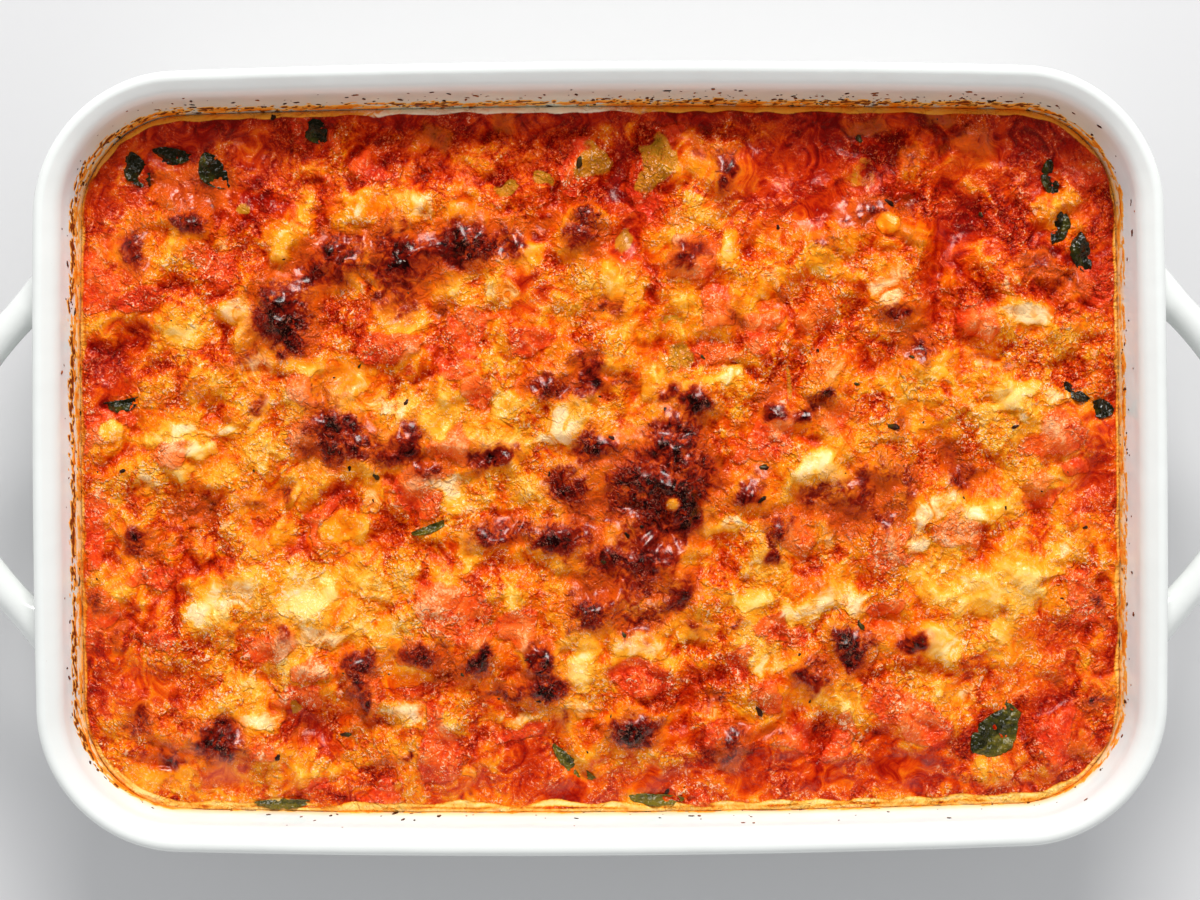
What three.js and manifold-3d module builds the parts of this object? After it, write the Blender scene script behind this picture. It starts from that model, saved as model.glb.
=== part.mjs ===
// A baked cheese lasagna in the white glazed baker it was cooked in.
// Millimetres, +Z up. The origin is the middle of the baker's foot, X runs along its length,
// and a loop handle stands out from each short end.
import * as THREE from "three";
import { mergeVertices } from "three/addons/utils/BufferGeometryUtils.js";
import Module from "manifold-3d";

const wasm = await Module();
wasm.setup();

// The baker: a rounded rectangle whose sides bow outwards a little
const RIM_LENGTH = 340;
const RIM_WIDTH = 238;
const DISH_HEIGHT = 66;
const RIM_CORNER = 41;
const LONG_SIDE_BOW = 3.5;
const SHORT_SIDE_BOW = 1.4;
const LIP_WIDTH = 7.5;
const LIP_DEPTH = 9;
// The lip is rolled at its outer edge. Inside the roll it falls in a bevel to the inner wall
const LIP_ROLL_RADIUS = 2.2;
const LIP_BEVEL_DEG = 35;
const LIP_BEVEL_END = 6.7;
const LIP_FALL = 3.75;
const LIP_OVERHANG = 2.2;
// The lip's underside: its set-in as a share of the overhang, and its rise above the lip's lower edge
const LIP_UNDERSIDE = [[1.07, -1], [0.55, 1.4], [0.12, 3.2]];
const INNER_LEAN_DEG = 9.5;
const OUTER_LEAN_DEG = 7;
const FLOOR_TOP = 6.3;
const FLOOR_FILLET = 12;
const HEEL_RADIUS = 10;
const FOOT_LIFT = 0.6;
const FOOT_WIDTH = 5;
const FOOT_RECESS = 1.5;
const RECESS_SLOPE = 1.2;
const FOOT_SETBACK = 1;

// The loop handles: a round bar on a parabola out from the rim's edge, flared where it joins the wall
const HANDLE_REACH = 28;
const HANDLE_HALF_SPAN = 50;
const HANDLE_BAR_WIDTH = 10;
const HANDLE_BAR_HEIGHT = 10.5;
const HANDLE_LEVEL = 51.6;
const HANDLE_ROOT_HALF_WIDTH = 10.2;
const HANDLE_ROOT_HALF_HEIGHT = 6.2;
const HANDLE_FLARE_RUN = 10;
const HANDLE_TENON = 3.4;

// The lasagna: it fills the baker to the sauce's level, and its top swells over what lies under it
const SAUCE_LEVEL = 46.6;
const FOOD_WALL_GAP = 0.5;
const FOOD_EDGE_SHRINK = 1.2;
const FOOD_SHOULDER = 4;
const FOOD_CROWN = 1.6;
const SHORE_WIDTH = 11;
const RELIEF = 1.3;
const RIPPLE = 0.45;

// The leaves: thin and wavy, bedded in the top with a fine gap all round
const LEAF_THICKNESS = 0.7;
const LEAF_GAP = 0.35;
const LEAF_BEDDING = 0.3;
const LEAF_EDGE = 0.4;
const BED_TOP = 12;

// How finely each part is faceted
const CORNER_STEPS = 7;
const LONG_STEPS = 6;
const SHORT_STEPS = 4;
const FOOD_COLUMNS = 48;
const FOOD_ROWS = 24;
const FOOD_CORNER_ROWS = 6;
const BAR_SIDES = 12;
const BAR_STEPS = 22;
const LEAF_ROWS = 7;
const LEAF_COLUMNS = 3;

const HALF_LENGTH = RIM_LENGTH / 2 - SHORT_SIDE_BOW;
const HALF_WIDTH = RIM_WIDTH / 2 - LONG_SIDE_BOW;
const INNER_LEAN = Math.tan(THREE.MathUtils.degToRad(INNER_LEAN_DEG));
const OUTER_LEAN = Math.tan(THREE.MathUtils.degToRad(OUTER_LEAN_DEG));
const LIP_BEVEL = THREE.MathUtils.degToRad(LIP_BEVEL_DEG);
const LIP_INNER_TOP = DISH_HEIGHT - LIP_FALL;

// The sides' bow: a straight-sided point moves outwards, most at the middle of its side
function bow(x, y) {
  const along = 1 - (x / HALF_LENGTH) ** 2;
  const across = 1 - (y / HALF_WIDTH) ** 2;
  return [
    x * (1 + (SHORT_SIDE_BOW / HALF_LENGTH) * across),
    y * (1 + (LONG_SIDE_BOW / HALF_WIDTH) * along),
  ];
}

// Where a point of the bowed baker lies before the bow
function straighten(x, y) {
  const along = 1 - (x / HALF_LENGTH) ** 2;
  const across = 1 - (y / HALF_WIDTH) ** 2;
  return [
    x / (1 + (SHORT_SIDE_BOW / HALF_LENGTH) * across),
    y / (1 + (LONG_SIDE_BOW / HALF_WIDTH) * along),
  ];
}

function smooth(t) {
  const c = Math.min(Math.max(t, 0), 1);
  return c * c * (3 - 2 * c);
}

// How far the inner wall stands in from the rim's outer edge at a height
function wallInset(z) {
  return LIP_WIDTH + (LIP_INNER_TOP - z) * INNER_LEAN;
}

function arc(middleInset, middleZ, radius, fromDeg, toDeg, steps) {
  const points = [];
  for (let i = 0; i <= steps; i++) {
    const a = THREE.MathUtils.degToRad(fromDeg + ((toDeg - fromDeg) * i) / steps);
    points.push([middleInset + radius * Math.cos(a), middleZ + radius * Math.sin(a)]);
  }
  return points;
}

function toGeometry(positions, triangles) {
  const geometry = new THREE.BufferGeometry();
  geometry.setAttribute("position", new THREE.Float32BufferAttribute(positions, 3));
  geometry.setIndex(triangles);
  return geometry;
}

function toManifold(geometry) {
  const bare = geometry.clone();
  bare.deleteAttribute("normal");
  bare.deleteAttribute("uv");
  const merged = mergeVertices(bare, 1e-4);
  const vertProperties = new Float32Array(merged.attributes.position.array);
  const triVerts = new Uint32Array(merged.index.array);
  return new wasm.Manifold(new wasm.Mesh({ numProp: 3, vertProperties, triVerts }));
}

function fromManifold(solid) {
  const mesh = solid.getMesh();
  return toGeometry(Array.from(mesh.vertProperties), Array.from(mesh.triVerts));
}

// A closed skin over rings of equal length, the first and the last filled in to their middles
function loft(rings) {
  const positions = [];
  const triangles = [];
  const count = rings[0].length;
  for (const ring of rings) for (const point of ring) positions.push(...point);
  for (let r = 0; r + 1 < rings.length; r++) {
    for (let i = 0; i < count; i++) {
      const a = r * count + i;
      const b = r * count + ((i + 1) % count);
      triangles.push(a, b, b + count, a, b + count, a + count);
    }
  }
  const addCap = (start, middle, flip) => {
    const centre = positions.length / 3;
    positions.push(...middle);
    for (let i = 0; i < count; i++) {
      const a = start + i;
      const b = start + ((i + 1) % count);
      if (flip) triangles.push(centre, b, a);
      else triangles.push(centre, a, b);
    }
  };
  const middleOf = (ring) => [0, 1, 2].map((k) => ring.reduce((sum, p) => sum + p[k], 0) / count);
  addCap(0, middleOf(rings[0]), true);
  addCap((rings.length - 1) * count, middleOf(rings[rings.length - 1]), false);
  return toGeometry(positions, triangles);
}

// One level outline of the baker, anticlockwise, set in from the rim's outer edge
function dishRing(inset, z) {
  const cornerX = HALF_LENGTH - RIM_CORNER;
  const cornerY = HALF_WIDTH - RIM_CORNER;
  const radius = RIM_CORNER - inset;
  const ring = [];
  const corners = [[1, 1, 0], [-1, 1, 90], [-1, -1, 180], [1, -1, 270]];
  corners.forEach(([sx, sy, startDeg], index) => {
    for (let i = 0; i < CORNER_STEPS; i++) {
      const a = THREE.MathUtils.degToRad(startDeg + (90 * i) / CORNER_STEPS);
      ring.push([sx * cornerX + radius * Math.cos(a), sy * cornerY + radius * Math.sin(a)]);
    }
    const endA = THREE.MathUtils.degToRad(startDeg + 90);
    const from = [sx * cornerX + radius * Math.cos(endA), sy * cornerY + radius * Math.sin(endA)];
    const [nx, ny] = corners[(index + 1) % corners.length];
    const to = [nx * cornerX + radius * Math.cos(endA), ny * cornerY + radius * Math.sin(endA)];
    const steps = index % 2 === 0 ? LONG_STEPS : SHORT_STEPS;
    for (let i = 0; i < steps; i++) {
      const t = i / steps;
      ring.push([from[0] + (to[0] - from[0]) * t, from[1] + (to[1] - from[1]) * t]);
    }
  });
  return ring.map(([x, y]) => [...bow(x, y), z]);
}

// The baker's section from the middle of its underside, out and up over the lip, and down inside
function dishGeometry() {
  const lipUnder = DISH_HEIGHT - LIP_DEPTH;
  const heelInset = LIP_OVERHANG + (lipUnder - HEEL_RADIUS) * OUTER_LEAN + HEEL_RADIUS;
  const footOuter = heelInset + FOOT_SETBACK;
  const footInner = footOuter + FOOT_WIDTH;
  const filletZ = FLOOR_TOP + FLOOR_FILLET;
  const filletInset = wallInset(filletZ) + FLOOR_FILLET;
  const bevelStart = LIP_ROLL_RADIUS * (1 + Math.sin(LIP_BEVEL));
  const bevelTop = DISH_HEIGHT - LIP_ROLL_RADIUS * (1 - Math.cos(LIP_BEVEL));
  const section = [
    [footInner + RECESS_SLOPE, FOOT_RECESS],
    [footInner, 0],
    [footOuter, 0],
    ...arc(heelInset, HEEL_RADIUS + FOOT_LIFT, HEEL_RADIUS, 270, 180 + OUTER_LEAN_DEG, 4),
    ...LIP_UNDERSIDE.map(([share, rise]) => [LIP_OVERHANG * share, lipUnder + rise]),
    ...arc(LIP_ROLL_RADIUS, DISH_HEIGHT - LIP_ROLL_RADIUS, LIP_ROLL_RADIUS, 180, 90, 3),
    [bevelStart, bevelTop],
    [LIP_BEVEL_END, bevelTop - (LIP_BEVEL_END - bevelStart) * Math.tan(LIP_BEVEL)],
    [LIP_WIDTH, LIP_INNER_TOP],
    ...arc(filletInset, filletZ, FLOOR_FILLET, 180 - INNER_LEAN_DEG, 270, 4),
  ];
  return loft(section.map(([inset, z]) => dishRing(inset, z)));
}

// A handle's bar: rings square to the path, which turn parallel to the wall as they reach it
function handleGeometry(side) {
  const wallOut = -LIP_OVERHANG - (DISH_HEIGHT - LIP_DEPTH - HANDLE_LEVEL) * OUTER_LEAN;
  const rootY = HANDLE_HALF_SPAN * Math.sqrt(1 - wallOut / HANDLE_REACH);
  const stations = [];
  for (let s = 0; s <= BAR_STEPS; s++) {
    stations.push([rootY * Math.sin((s / BAR_STEPS - 0.5) * Math.PI), 0]);
  }
  stations.unshift([-rootY, HANDLE_TENON]);
  stations.push([rootY, HANDLE_TENON]);
  const rings = stations.map(([y, tenon]) => {
    const out = HANDLE_REACH * (1 - (y / HANDLE_HALF_SPAN) ** 2);
    const slope = (-2 * HANDLE_REACH * y) / HANDLE_HALF_SPAN ** 2;
    const run = Math.hypot(slope, 1);
    const root = smooth(1 - (out - wallOut) / HANDLE_FLARE_RUN);
    const mix = (bar, end) => bar + (end - bar) * root;
    const wideX = mix(HANDLE_BAR_WIDTH / 2 / run, 0);
    const wideY = mix((-HANDLE_BAR_WIDTH / 2) * (slope / run), Math.sign(y) * HANDLE_ROOT_HALF_WIDTH);
    const halfTall = mix(HANDLE_BAR_HEIGHT / 2, HANDLE_ROOT_HALF_HEIGHT);
    const ring = [];
    for (let i = 0; i < BAR_SIDES; i++) {
      const a = (2 * Math.PI * i) / BAR_SIDES;
      const x = RIM_LENGTH / 2 + out - tenon + wideX * Math.cos(a);
      ring.push([side * x, y + wideY * Math.cos(a), HANDLE_LEVEL + halfTall * Math.sin(a)]);
    }
    return side > 0 ? ring.reverse() : ring;
  });
  return loft(rings);
}

// What stands up from the lasagna's top: x, y, half length, half width, turn in degrees, height
// The highest places, where the cheese has browned and burnt
const BROWNED_PEAKS = [
  [-125, 73, 10, 8, 0, 3.2], [-141, 64, 8, 10, 0, 2.8], [-98, 46, 14, 14, 0, 4.2],
  [-82, 61, 11, 9, 0, 3], [-60, 62, 13, 11, 0, 4.6], [-37, 65, 12, 9, 0, 4.4],
  [-4, 70, 9, 10, 0, 3], [39, 87, 9, 10, 0, 3.2], [28, 61, 14, 9, 0, 3.4],
  [69, 64, 14, 9, 15, 3.6], [91, 67, 13, 10, -20, 4.6], [114, 96, 12, 9, 0, 2.4],
  [91, 45, 11, 9, 0, 3], [70, 20, 13, 8, 35, 4], [31, 18, 9, 10, 0, 3.6],
  [2, 30, 9, 13, 0, 3.6], [-17, 20, 13, 9, 5, 3.6], [-3, 5, 12, 10, 0, 3.8],
  [20, 3, 14, 12, 0, 5], [10, -9, 12, 11, 0, 3], [28, -12, 11, 11, 0, 3.6],
  [45, -11, 9, 8, 0, 3], [54, -25, 8, 13, 0, 3], [-31, 1, 12, 8, 10, 3],
  [-60, 3, 14, 9, 10, 3.4], [-78, 8, 14, 12, 0, 4.2], [6, -31, 14, 9, 0, 3],
  [24, -40, 11, 9, -45, 3.4], [2, -46, 12, 9, 0, 3.2], [-13, -25, 10, 9, 0, 3],
  [-32, -24, 14, 8, 0, 2.8], [-37, -62, 14, 9, 25, 4.2], [-18, -66, 10, 14, 0, 4],
  [-55, -59, 13, 8, 0, 3], [-73, -66, 10, 14, 0, 3.4], [77, -57, 11, 10, 0, 3.6],
  [64, -66, 9, 9, 0, 3.2], [94, -56, 13, 9, 10, 3], [10, -85, 15, 9, 0, 3.4],
  [38, -88, 12, 8, 0, 3.2], [-117, -85, 14, 12, 0, 4], [-140, -79, 9, 11, 0, 3],
  [86, -7, 16, 17, 0, 3.4], [-89, 20, 13, 14, 0, 3],
];

// Lumps of tomato under the cheese
const TOMATO_LUMPS = [
  [-141, 49, 12, 11, 0, 3.4], [-65, 34, 16, 11, -10, 3.4], [-43, 29, 12, 9, 0, 2.4],
  [-21, 37, 12, 8, 0, 2.4], [-131, 2, 12, 8, 20, 2.4], [-153, -47, 8, 13, 0, 2],
  [-133, -55, 10, 9, 0, 2.6], [-45, -45, 19, 14, 10, 4.2], [-50, -88, 14, 16, 0, 3],
  [12, -67, 17, 12, 0, 3.6], [49, -70, 10, 12, 0, 2.4], [95, -81, 25, 12, -32, 3.6],
  [-104, -89, 11, 9, 0, 2.6], [-88, -65, 12, 9, 0, 2.6], [86, -28, 9, 10, 0, 2.4],
  [140, 6, 14, 12, 0, 3], [139, -90, 17, 11, 0, 2.2], [27, 86, 13, 11, 0, 2.6],
];

// Soft swells of melted cheese and of the pasta sheets
const CHEESE_SWELLS = [
  [-98, 69, 10, 13, 0, 2], [-72, 77, 14, 11, 0, 2.4], [-50, 78, 15, 9, 0, 2.4],
  [-21, 53, 15, 12, 0, 3.2], [4, 55, 10, 13, 0, 3], [34, 50, 18, 10, 0, 2.4],
  [89, 54, 15, 11, 0, 2.8], [125, 56, 15, 13, 0, 3.2], [130, 40, 17, 9, 0, 2.4],
  [128, 18, 17, 9, 0, 2.6], [66, -2, 15, 8, 25, 3], [100, -20, 18, 9, 50, 3],
  [120, -17, 13, 9, 0, 2.6], [128, -38, 15, 14, 0, 3], [103, -41, 20, 10, 0, 2.6],
  [104, -60, 15, 12, 0, 2.8], [-101, -34, 18, 12, 0, 2.6], [-90, -51, 20, 10, 0, 2.4],
  [-122, -47, 13, 9, 0, 2], [-6, -60, 9, 13, 0, 2.2], [-27, -42, 11, 9, 0, 2.6],
  [66, -45, 20, 9, 0, 2.6], [-46, 15, 14, 9, 0, 2.2], [-125, 28, 15, 11, 0, 2],
];

// Furrows and hollows between them
const HOLLOWS = [
  [6, 86, 6, 15, -5, -3.2], [9, 67, 6, 10, -15, -2.8], [109, 73, 11, 13, 0, -4],
  [104, 51, 5, 15, -5, -2.4], [109, -3, 15, 8, -50, -3], [-89, -81, 13, 7, -25, -2.8],
  [136, -14, 13, 6, 25, -2.4], [146, -62, 6, 13, -10, -2], [-10, 48, 6, 13, 0, -2.6],
  [35, -20, 7, 14, 0, -2.4], [-125, -15, 13, 8, 0, -2], [120, 30, 11, 6, -15, -2.2],
  [152, -7, 7, 12, 0, -1.8], [-140, 30, 14, 8, 0, -1.6],
];

const SWELLS = [...BROWNED_PEAKS, ...TOMATO_LUMPS, ...CHEESE_SWELLS, ...HOLLOWS];

// The distance in from the wall at the sauce's level
function shoreDistance(x, y) {
  const inset = wallInset(SAUCE_LEVEL);
  const [straightX, straightY] = straighten(x, y);
  const dx = Math.abs(straightX) - (HALF_LENGTH - RIM_CORNER);
  const dy = Math.abs(straightY) - (HALF_WIDTH - RIM_CORNER);
  const outside = Math.hypot(Math.max(dx, 0), Math.max(dy, 0)) + Math.min(Math.max(dx, dy), 0);
  return RIM_CORNER - inset - outside;
}

// The height of the lasagna's top
function foodTop(x, y) {
  let lift = FOOD_CROWN * (1 - (x / HALF_LENGTH) ** 2) * (1 - (y / HALF_WIDTH) ** 2);
  for (const [mx, my, halfLong, halfShort, turnDeg, height] of SWELLS) {
    const a = THREE.MathUtils.degToRad(turnDeg);
    const u = ((x - mx) * Math.cos(a) + (y - my) * Math.sin(a)) / halfLong;
    const v = ((y - my) * Math.cos(a) - (x - mx) * Math.sin(a)) / halfShort;
    const q = u * u + v * v;
    if (q < 4) lift += RELIEF * height * Math.exp(-1.6 * q);
  }
  lift += RIPPLE * (Math.sin(x * 0.41 + 1.3) * Math.sin(y * 0.37) + Math.sin(x * 0.23 - y * 0.31));
  return SAUCE_LEVEL + lift * smooth((shoreDistance(x, y) + 1) / SHORE_WIDTH);
}

// The lasagna: rows across the baker between its side walls, down the sides and over the floor
function foodGeometry() {
  const cornerX = HALF_LENGTH - RIM_CORNER;
  const cornerY = HALF_WIDTH - RIM_CORNER;
  const rows = [];
  for (let i = 0; i < FOOD_CORNER_ROWS; i++) rows.push([-1, 90 - (90 * i) / FOOD_CORNER_ROWS]);
  for (let i = 0; i <= FOOD_ROWS; i++) rows.push([(2 * i) / FOOD_ROWS - 1, 0]);
  for (let i = 1; i <= FOOD_CORNER_ROWS; i++) rows.push([1, (90 * i) / FOOD_CORNER_ROWS]);
  // The place of a grid corner on the outline that stands in by an inset
  const place = (row, column, inset) => {
    const [t, deg] = rows[row];
    const a = THREE.MathUtils.degToRad(deg);
    const radius = RIM_CORNER - inset;
    const y = t * cornerY + Math.sign(t) * radius * Math.sin(a);
    const halfX = cornerX + radius * Math.cos(a);
    return [((2 * column) / FOOD_COLUMNS - 1) * halfX, y];
  };
  const edge = [];
  const lastRow = rows.length - 1;
  for (let c = 0; c < FOOD_COLUMNS; c++) edge.push([0, c]);
  for (let r = 0; r < lastRow; r++) edge.push([r, FOOD_COLUMNS]);
  for (let c = FOOD_COLUMNS; c > 0; c--) edge.push([lastRow, c]);
  for (let r = lastRow; r > 0; r--) edge.push([r, 0]);

  const positions = [];
  const triangles = [];
  const topInset = wallInset(SAUCE_LEVEL) + FOOD_EDGE_SHRINK;
  const index = (row, column) => row * (FOOD_COLUMNS + 1) + column;
  for (let r = 0; r <= lastRow; r++) {
    for (let c = 0; c <= FOOD_COLUMNS; c++) {
      const [x, y] = bow(...place(r, c, topInset));
      positions.push(x, y, foodTop(x, y));
    }
  }
  for (let r = 0; r < lastRow; r++) {
    for (let c = 0; c < FOOD_COLUMNS; c++) {
      const [a, b, d, e] = [index(r, c), index(r, c + 1), index(r + 1, c), index(r + 1, c + 1)];
      if ((r + c) % 2 === 0) triangles.push(a, b, e, a, e, d);
      else triangles.push(a, b, d, b, e, d);
    }
  }
  const filletZ = FLOOR_TOP + FLOOR_FILLET;
  const filletInset = wallInset(filletZ) + FLOOR_FILLET;
  const filletRadius = FLOOR_FILLET - FOOD_WALL_GAP;
  const fillet = arc(filletInset, filletZ, filletRadius, 180 - INNER_LEAN_DEG, 270, 3);
  const shoulderZ = SAUCE_LEVEL - FOOD_SHOULDER;
  const levels = [[wallInset(shoulderZ) + FOOD_WALL_GAP, shoulderZ], ...fillet];
  let above = edge.map(([r, c]) => index(r, c));
  for (const [inset, z] of levels) {
    const below = edge.map(([r, c]) => {
      positions.push(...bow(...place(r, c, inset)), z);
      return positions.length / 3 - 1;
    });
    below.forEach((v, i) => {
      const next = (i + 1) % below.length;
      triangles.push(above[i], v, below[next], above[i], below[next], above[next]);
    });
    above = below;
  }
  positions.push(0, 0, levels[levels.length - 1][1]);
  const middle = positions.length / 3 - 1;
  above.forEach((v, i) => triangles.push(middle, above[(i + 1) % above.length], v));
  return toGeometry(positions, triangles);
}

// The basil leaves that show: x, y, length, width, turn in degrees, bend, how blunt one end is
const LEAVES = [
  [-141, 89, 12, 7.5, -60, 1, 0.3], [-130.5, 93.6, 12, 5.5, -8, 1, 0.2],
  [-117.5, 88.5, 13, 8, -55, 1.2, 0.3], [-86, 100.5, 8.5, 7, -60, 0.6, 0.5],
  [-146, 17.6, 11.5, 4, 10, 1.6, 0.1], [138.5, 84.5, 12, 5, -80, 0.8, 0.3],
  [141.3, 69.5, 11, 5.5, 74, 1, 0.2], [147.8, 61.8, 13, 6.5, -76, 1, 0.3],
  [145.6, 19, 9.5, 3.6, -35, 1, 0.1], [153.9, 14.2, 7, 6, -20, 0.6, 0.5],
  [120.5, -84.5, 19, 12, 48, 1.6, 0.9], [-9, -93.5, 17, 4, -40, 1.4, 0],
  [16, -104.3, 18, 3.6, -3, 0.8, 0], [-98, -105, 17, 3.2, 1, 0.6, 0],
  [-51.8, -20.9, 12.5, 2.6, 20, 0.6, 0],
];

// A closed skin over a leaf's own grid; grow widens it, and the two faces' offsets are from its lie
function leafSolid([cx, cy, length, width, turnDeg, bend, blunt], grow, bottom, top) {
  const a = THREE.MathUtils.degToRad(turnDeg);
  const faces = [[], []];
  const positions = [];
  const halfLong = length / 2 + grow;
  for (let r = 0; r <= LEAF_ROWS; r++) {
    const t = r / LEAF_ROWS;
    const leafy = Math.sin(Math.PI * Math.min(Math.max(t, 0), 1) ** (1 - 0.2 * blunt)) ** 0.75;
    const torn = blunt * 0.55 * smooth(t * 2);
    const halfWide = (width / 2 - LEAF_EDGE) * Math.max(leafy, torn) + LEAF_EDGE + grow;
    for (let c = 0; c <= LEAF_COLUMNS; c++) {
      const s = (2 * c) / LEAF_COLUMNS - 1;
      const along = (2 * t - 1) * halfLong;
      const across = s * halfWide + bend * ((2 * t - 1) ** 2 - 0.4);
      const x = cx + along * Math.cos(a) - across * Math.sin(a);
      const y = cy + along * Math.sin(a) + across * Math.cos(a);
      const wave = 0.35 * Math.sin(6 * t + 2 * s) + 0.3 * s * s;
      const lie = foodTop(x, y) + wave - LEAF_BEDDING;
      for (const [face, offset] of [[0, bottom], [1, top]]) {
        positions.push(x, y, lie + offset);
        faces[face].push(positions.length / 3 - 1);
      }
    }
  }
  const triangles = [];
  const wide = LEAF_COLUMNS + 1;
  for (let r = 0; r < LEAF_ROWS; r++) {
    for (let c = 0; c < LEAF_COLUMNS; c++) {
      const [i, j, k, l] = [r * wide + c, r * wide + c + 1, (r + 1) * wide + c, (r + 1) * wide + c + 1];
      const [under, over] = faces;
      triangles.push(over[i], over[k], over[l], over[i], over[l], over[j]);
      triangles.push(under[i], under[l], under[k], under[i], under[j], under[l]);
    }
  }
  const rim = [];
  for (let c = 0; c < LEAF_COLUMNS; c++) rim.push(c);
  for (let r = 0; r < LEAF_ROWS; r++) rim.push(r * wide + LEAF_COLUMNS);
  for (let c = LEAF_COLUMNS; c > 0; c--) rim.push(LEAF_ROWS * wide + c);
  for (let r = LEAF_ROWS; r > 0; r--) rim.push(r * wide);
  rim.forEach((p, i) => {
    const q = rim[(i + 1) % rim.length];
    const [under, over] = faces;
    triangles.push(over[p], over[q], under[q], over[p], under[q], under[p]);
  });
  return toGeometry(positions, triangles);
}

const glazeWhite = new THREE.MeshStandardMaterial({ color: 0xf1efeb, roughness: 0.14, metalness: 0 });
const bakedCheese = new THREE.MeshStandardMaterial({ color: 0xd2561a, roughness: 0.35, metalness: 0 });
const cookedLeaf = new THREE.MeshStandardMaterial({ color: 0x20260f, roughness: 0.4, metalness: 0 });

const lasagnaAndDish = new THREE.Group();

function addPart(name, geometry, material) {
  geometry.computeVertexNormals();
  const mesh = new THREE.Mesh(geometry, material);
  mesh.name = name;
  lasagnaAndDish.add(mesh);
}

// The baker and its two handles are cast in one piece
const dish = [1, -1].reduce(
  (body, side) => body.add(toManifold(handleGeometry(side))),
  toManifold(dishGeometry()),
);
addPart("dish", fromManifold(dish), glazeWhite);

// Each leaf has a bed in the lasagna's top, open upwards
const lasagna = LEAVES.reduce(
  (body, leaf) => body.subtract(toManifold(
    leafSolid(leaf, LEAF_GAP, -LEAF_THICKNESS / 2 - LEAF_GAP, BED_TOP))),
  toManifold(foodGeometry()),
);
addPart("lasagna", fromManifold(lasagna), bakedCheese);

LEAVES.forEach((leaf, i) => {
  const name = `leaf_${String(i + 1).padStart(2, "0")}`;
  addPart(name, leafSolid(leaf, 0, -LEAF_THICKNESS / 2, LEAF_THICKNESS / 2), cookedLeaf);
});

export default lasagnaAndDish;
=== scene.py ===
import math

import bpy
import numpy as np
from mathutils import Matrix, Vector


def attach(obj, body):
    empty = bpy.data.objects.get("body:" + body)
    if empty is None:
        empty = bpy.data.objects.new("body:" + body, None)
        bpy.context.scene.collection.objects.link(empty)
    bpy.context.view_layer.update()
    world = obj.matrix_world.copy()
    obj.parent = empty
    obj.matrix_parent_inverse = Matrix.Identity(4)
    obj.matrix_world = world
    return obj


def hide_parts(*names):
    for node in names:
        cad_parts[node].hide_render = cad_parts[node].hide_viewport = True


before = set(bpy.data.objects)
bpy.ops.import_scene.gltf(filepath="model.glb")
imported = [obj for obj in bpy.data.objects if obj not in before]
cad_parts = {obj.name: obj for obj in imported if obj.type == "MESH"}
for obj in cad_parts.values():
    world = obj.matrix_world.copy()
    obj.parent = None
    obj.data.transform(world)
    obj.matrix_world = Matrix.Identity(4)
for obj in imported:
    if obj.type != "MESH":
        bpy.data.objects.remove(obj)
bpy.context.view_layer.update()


# The baking dish
# White stoneware, cast in one piece with a loop handle at each short end, and glazed all over
# but for the ring foot that it was fired on. Sizes are in millimetres, the same as the solid's.
MM = 0.001
RIM_LENGTH = 340
RIM_WIDTH = 238
DISH_HEIGHT = 66
RIM_CORNER = 41
LONG_SIDE_BOW = 3.5
SHORT_SIDE_BOW = 1.4
LIP_WIDTH = 7.5
LIP_DEPTH = 9
LIP_OVERHANG = 2.2
LIP_ROLL_RADIUS = 2.2
LIP_BEVEL_DEG = 35
LIP_BEVEL_END = 6.7
LIP_FALL = 3.75
WALL_TOP = 60.4
INNER_LEAN_DEG = 9.5
OUTER_LEAN_DEG = 7
FLOOR_TOP = 6.3
FLOOR_FILLET = 12
HEEL_RADIUS = 10
FOOT_LIFT = 0.6
FOOT_WIDTH = 5
FOOT_RECESS = 1.5
FOOT_EDGE_RADIUS = 0.6
HANDLE_REACH = 28
HANDLE_HALF_SPAN = 50
HANDLE_BAR_WIDTH = 10
HANDLE_BAR_HEIGHT = 10.5
HANDLE_LEVEL = 51.6
HANDLE_ROOT_HALF_WIDTH = 10.2
HANDLE_ROOT_HALF_HEIGHT = 6.2
HANDLE_FLARE_RUN = 10
HANDLE_TENON = 3.4
SHARP_EDGE_DEG = 50
HALF_LENGTH = RIM_LENGTH / 2 - SHORT_SIDE_BOW
HALF_WIDTH = RIM_WIDTH / 2 - LONG_SIDE_BOW
CORNER_X = HALF_LENGTH - RIM_CORNER
CORNER_Y = HALF_WIDTH - RIM_CORNER
INNER_LEAN = math.tan(math.radians(INNER_LEAN_DEG))
OUTER_LEAN = math.tan(math.radians(OUTER_LEAN_DEG))
LIP_INNER_TOP = DISH_HEIGHT - LIP_FALL
GLAZE_WHITE = (0.735, 0.755, 0.735, 1)
GLAZE_THIN = (0.665, 0.68, 0.65, 1)
BARE_CLAY = (0.62, 0.55, 0.46, 1)
# Painted cool tint, against the food's red glow on the inner wall
GLAZE_COOLED_AGAINST_GLOW = (0.79, 0.93, 0.92, 1)
GLAZE_FAR_WALL = (0.74, 0.71, 0.57, 1)
GLAZE_AT_RING = (0.96, 0.72, 0.42, 1)
IRON_FLECK = (0.35, 0.27, 0.2, 1)
# Where the glaze changes, in metres
FOOT_TOP = (0.0004, 0.0009)
FILM_HALF_LENGTH = 0.165
FILM_TOP = (0.055, 0.064)
FAR_WALL = (0.085, 0.1)
RING_SHADE_TOP = (0.046, 0.051)


def bow(x, y):
    """Moves straight-sided places outwards, most at the middle of each side."""
    along = 1 - (x / HALF_LENGTH) ** 2
    across = 1 - (y / HALF_WIDTH) ** 2
    return (x * (1 + SHORT_SIDE_BOW / HALF_LENGTH * across),
            y * (1 + LONG_SIDE_BOW / HALF_WIDTH * along))


def wall_inset(z):
    """How far the inner wall stands in from the rim's outer edge at a height."""
    return LIP_WIDTH + (LIP_INNER_TOP - z) * INNER_LEAN


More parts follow.
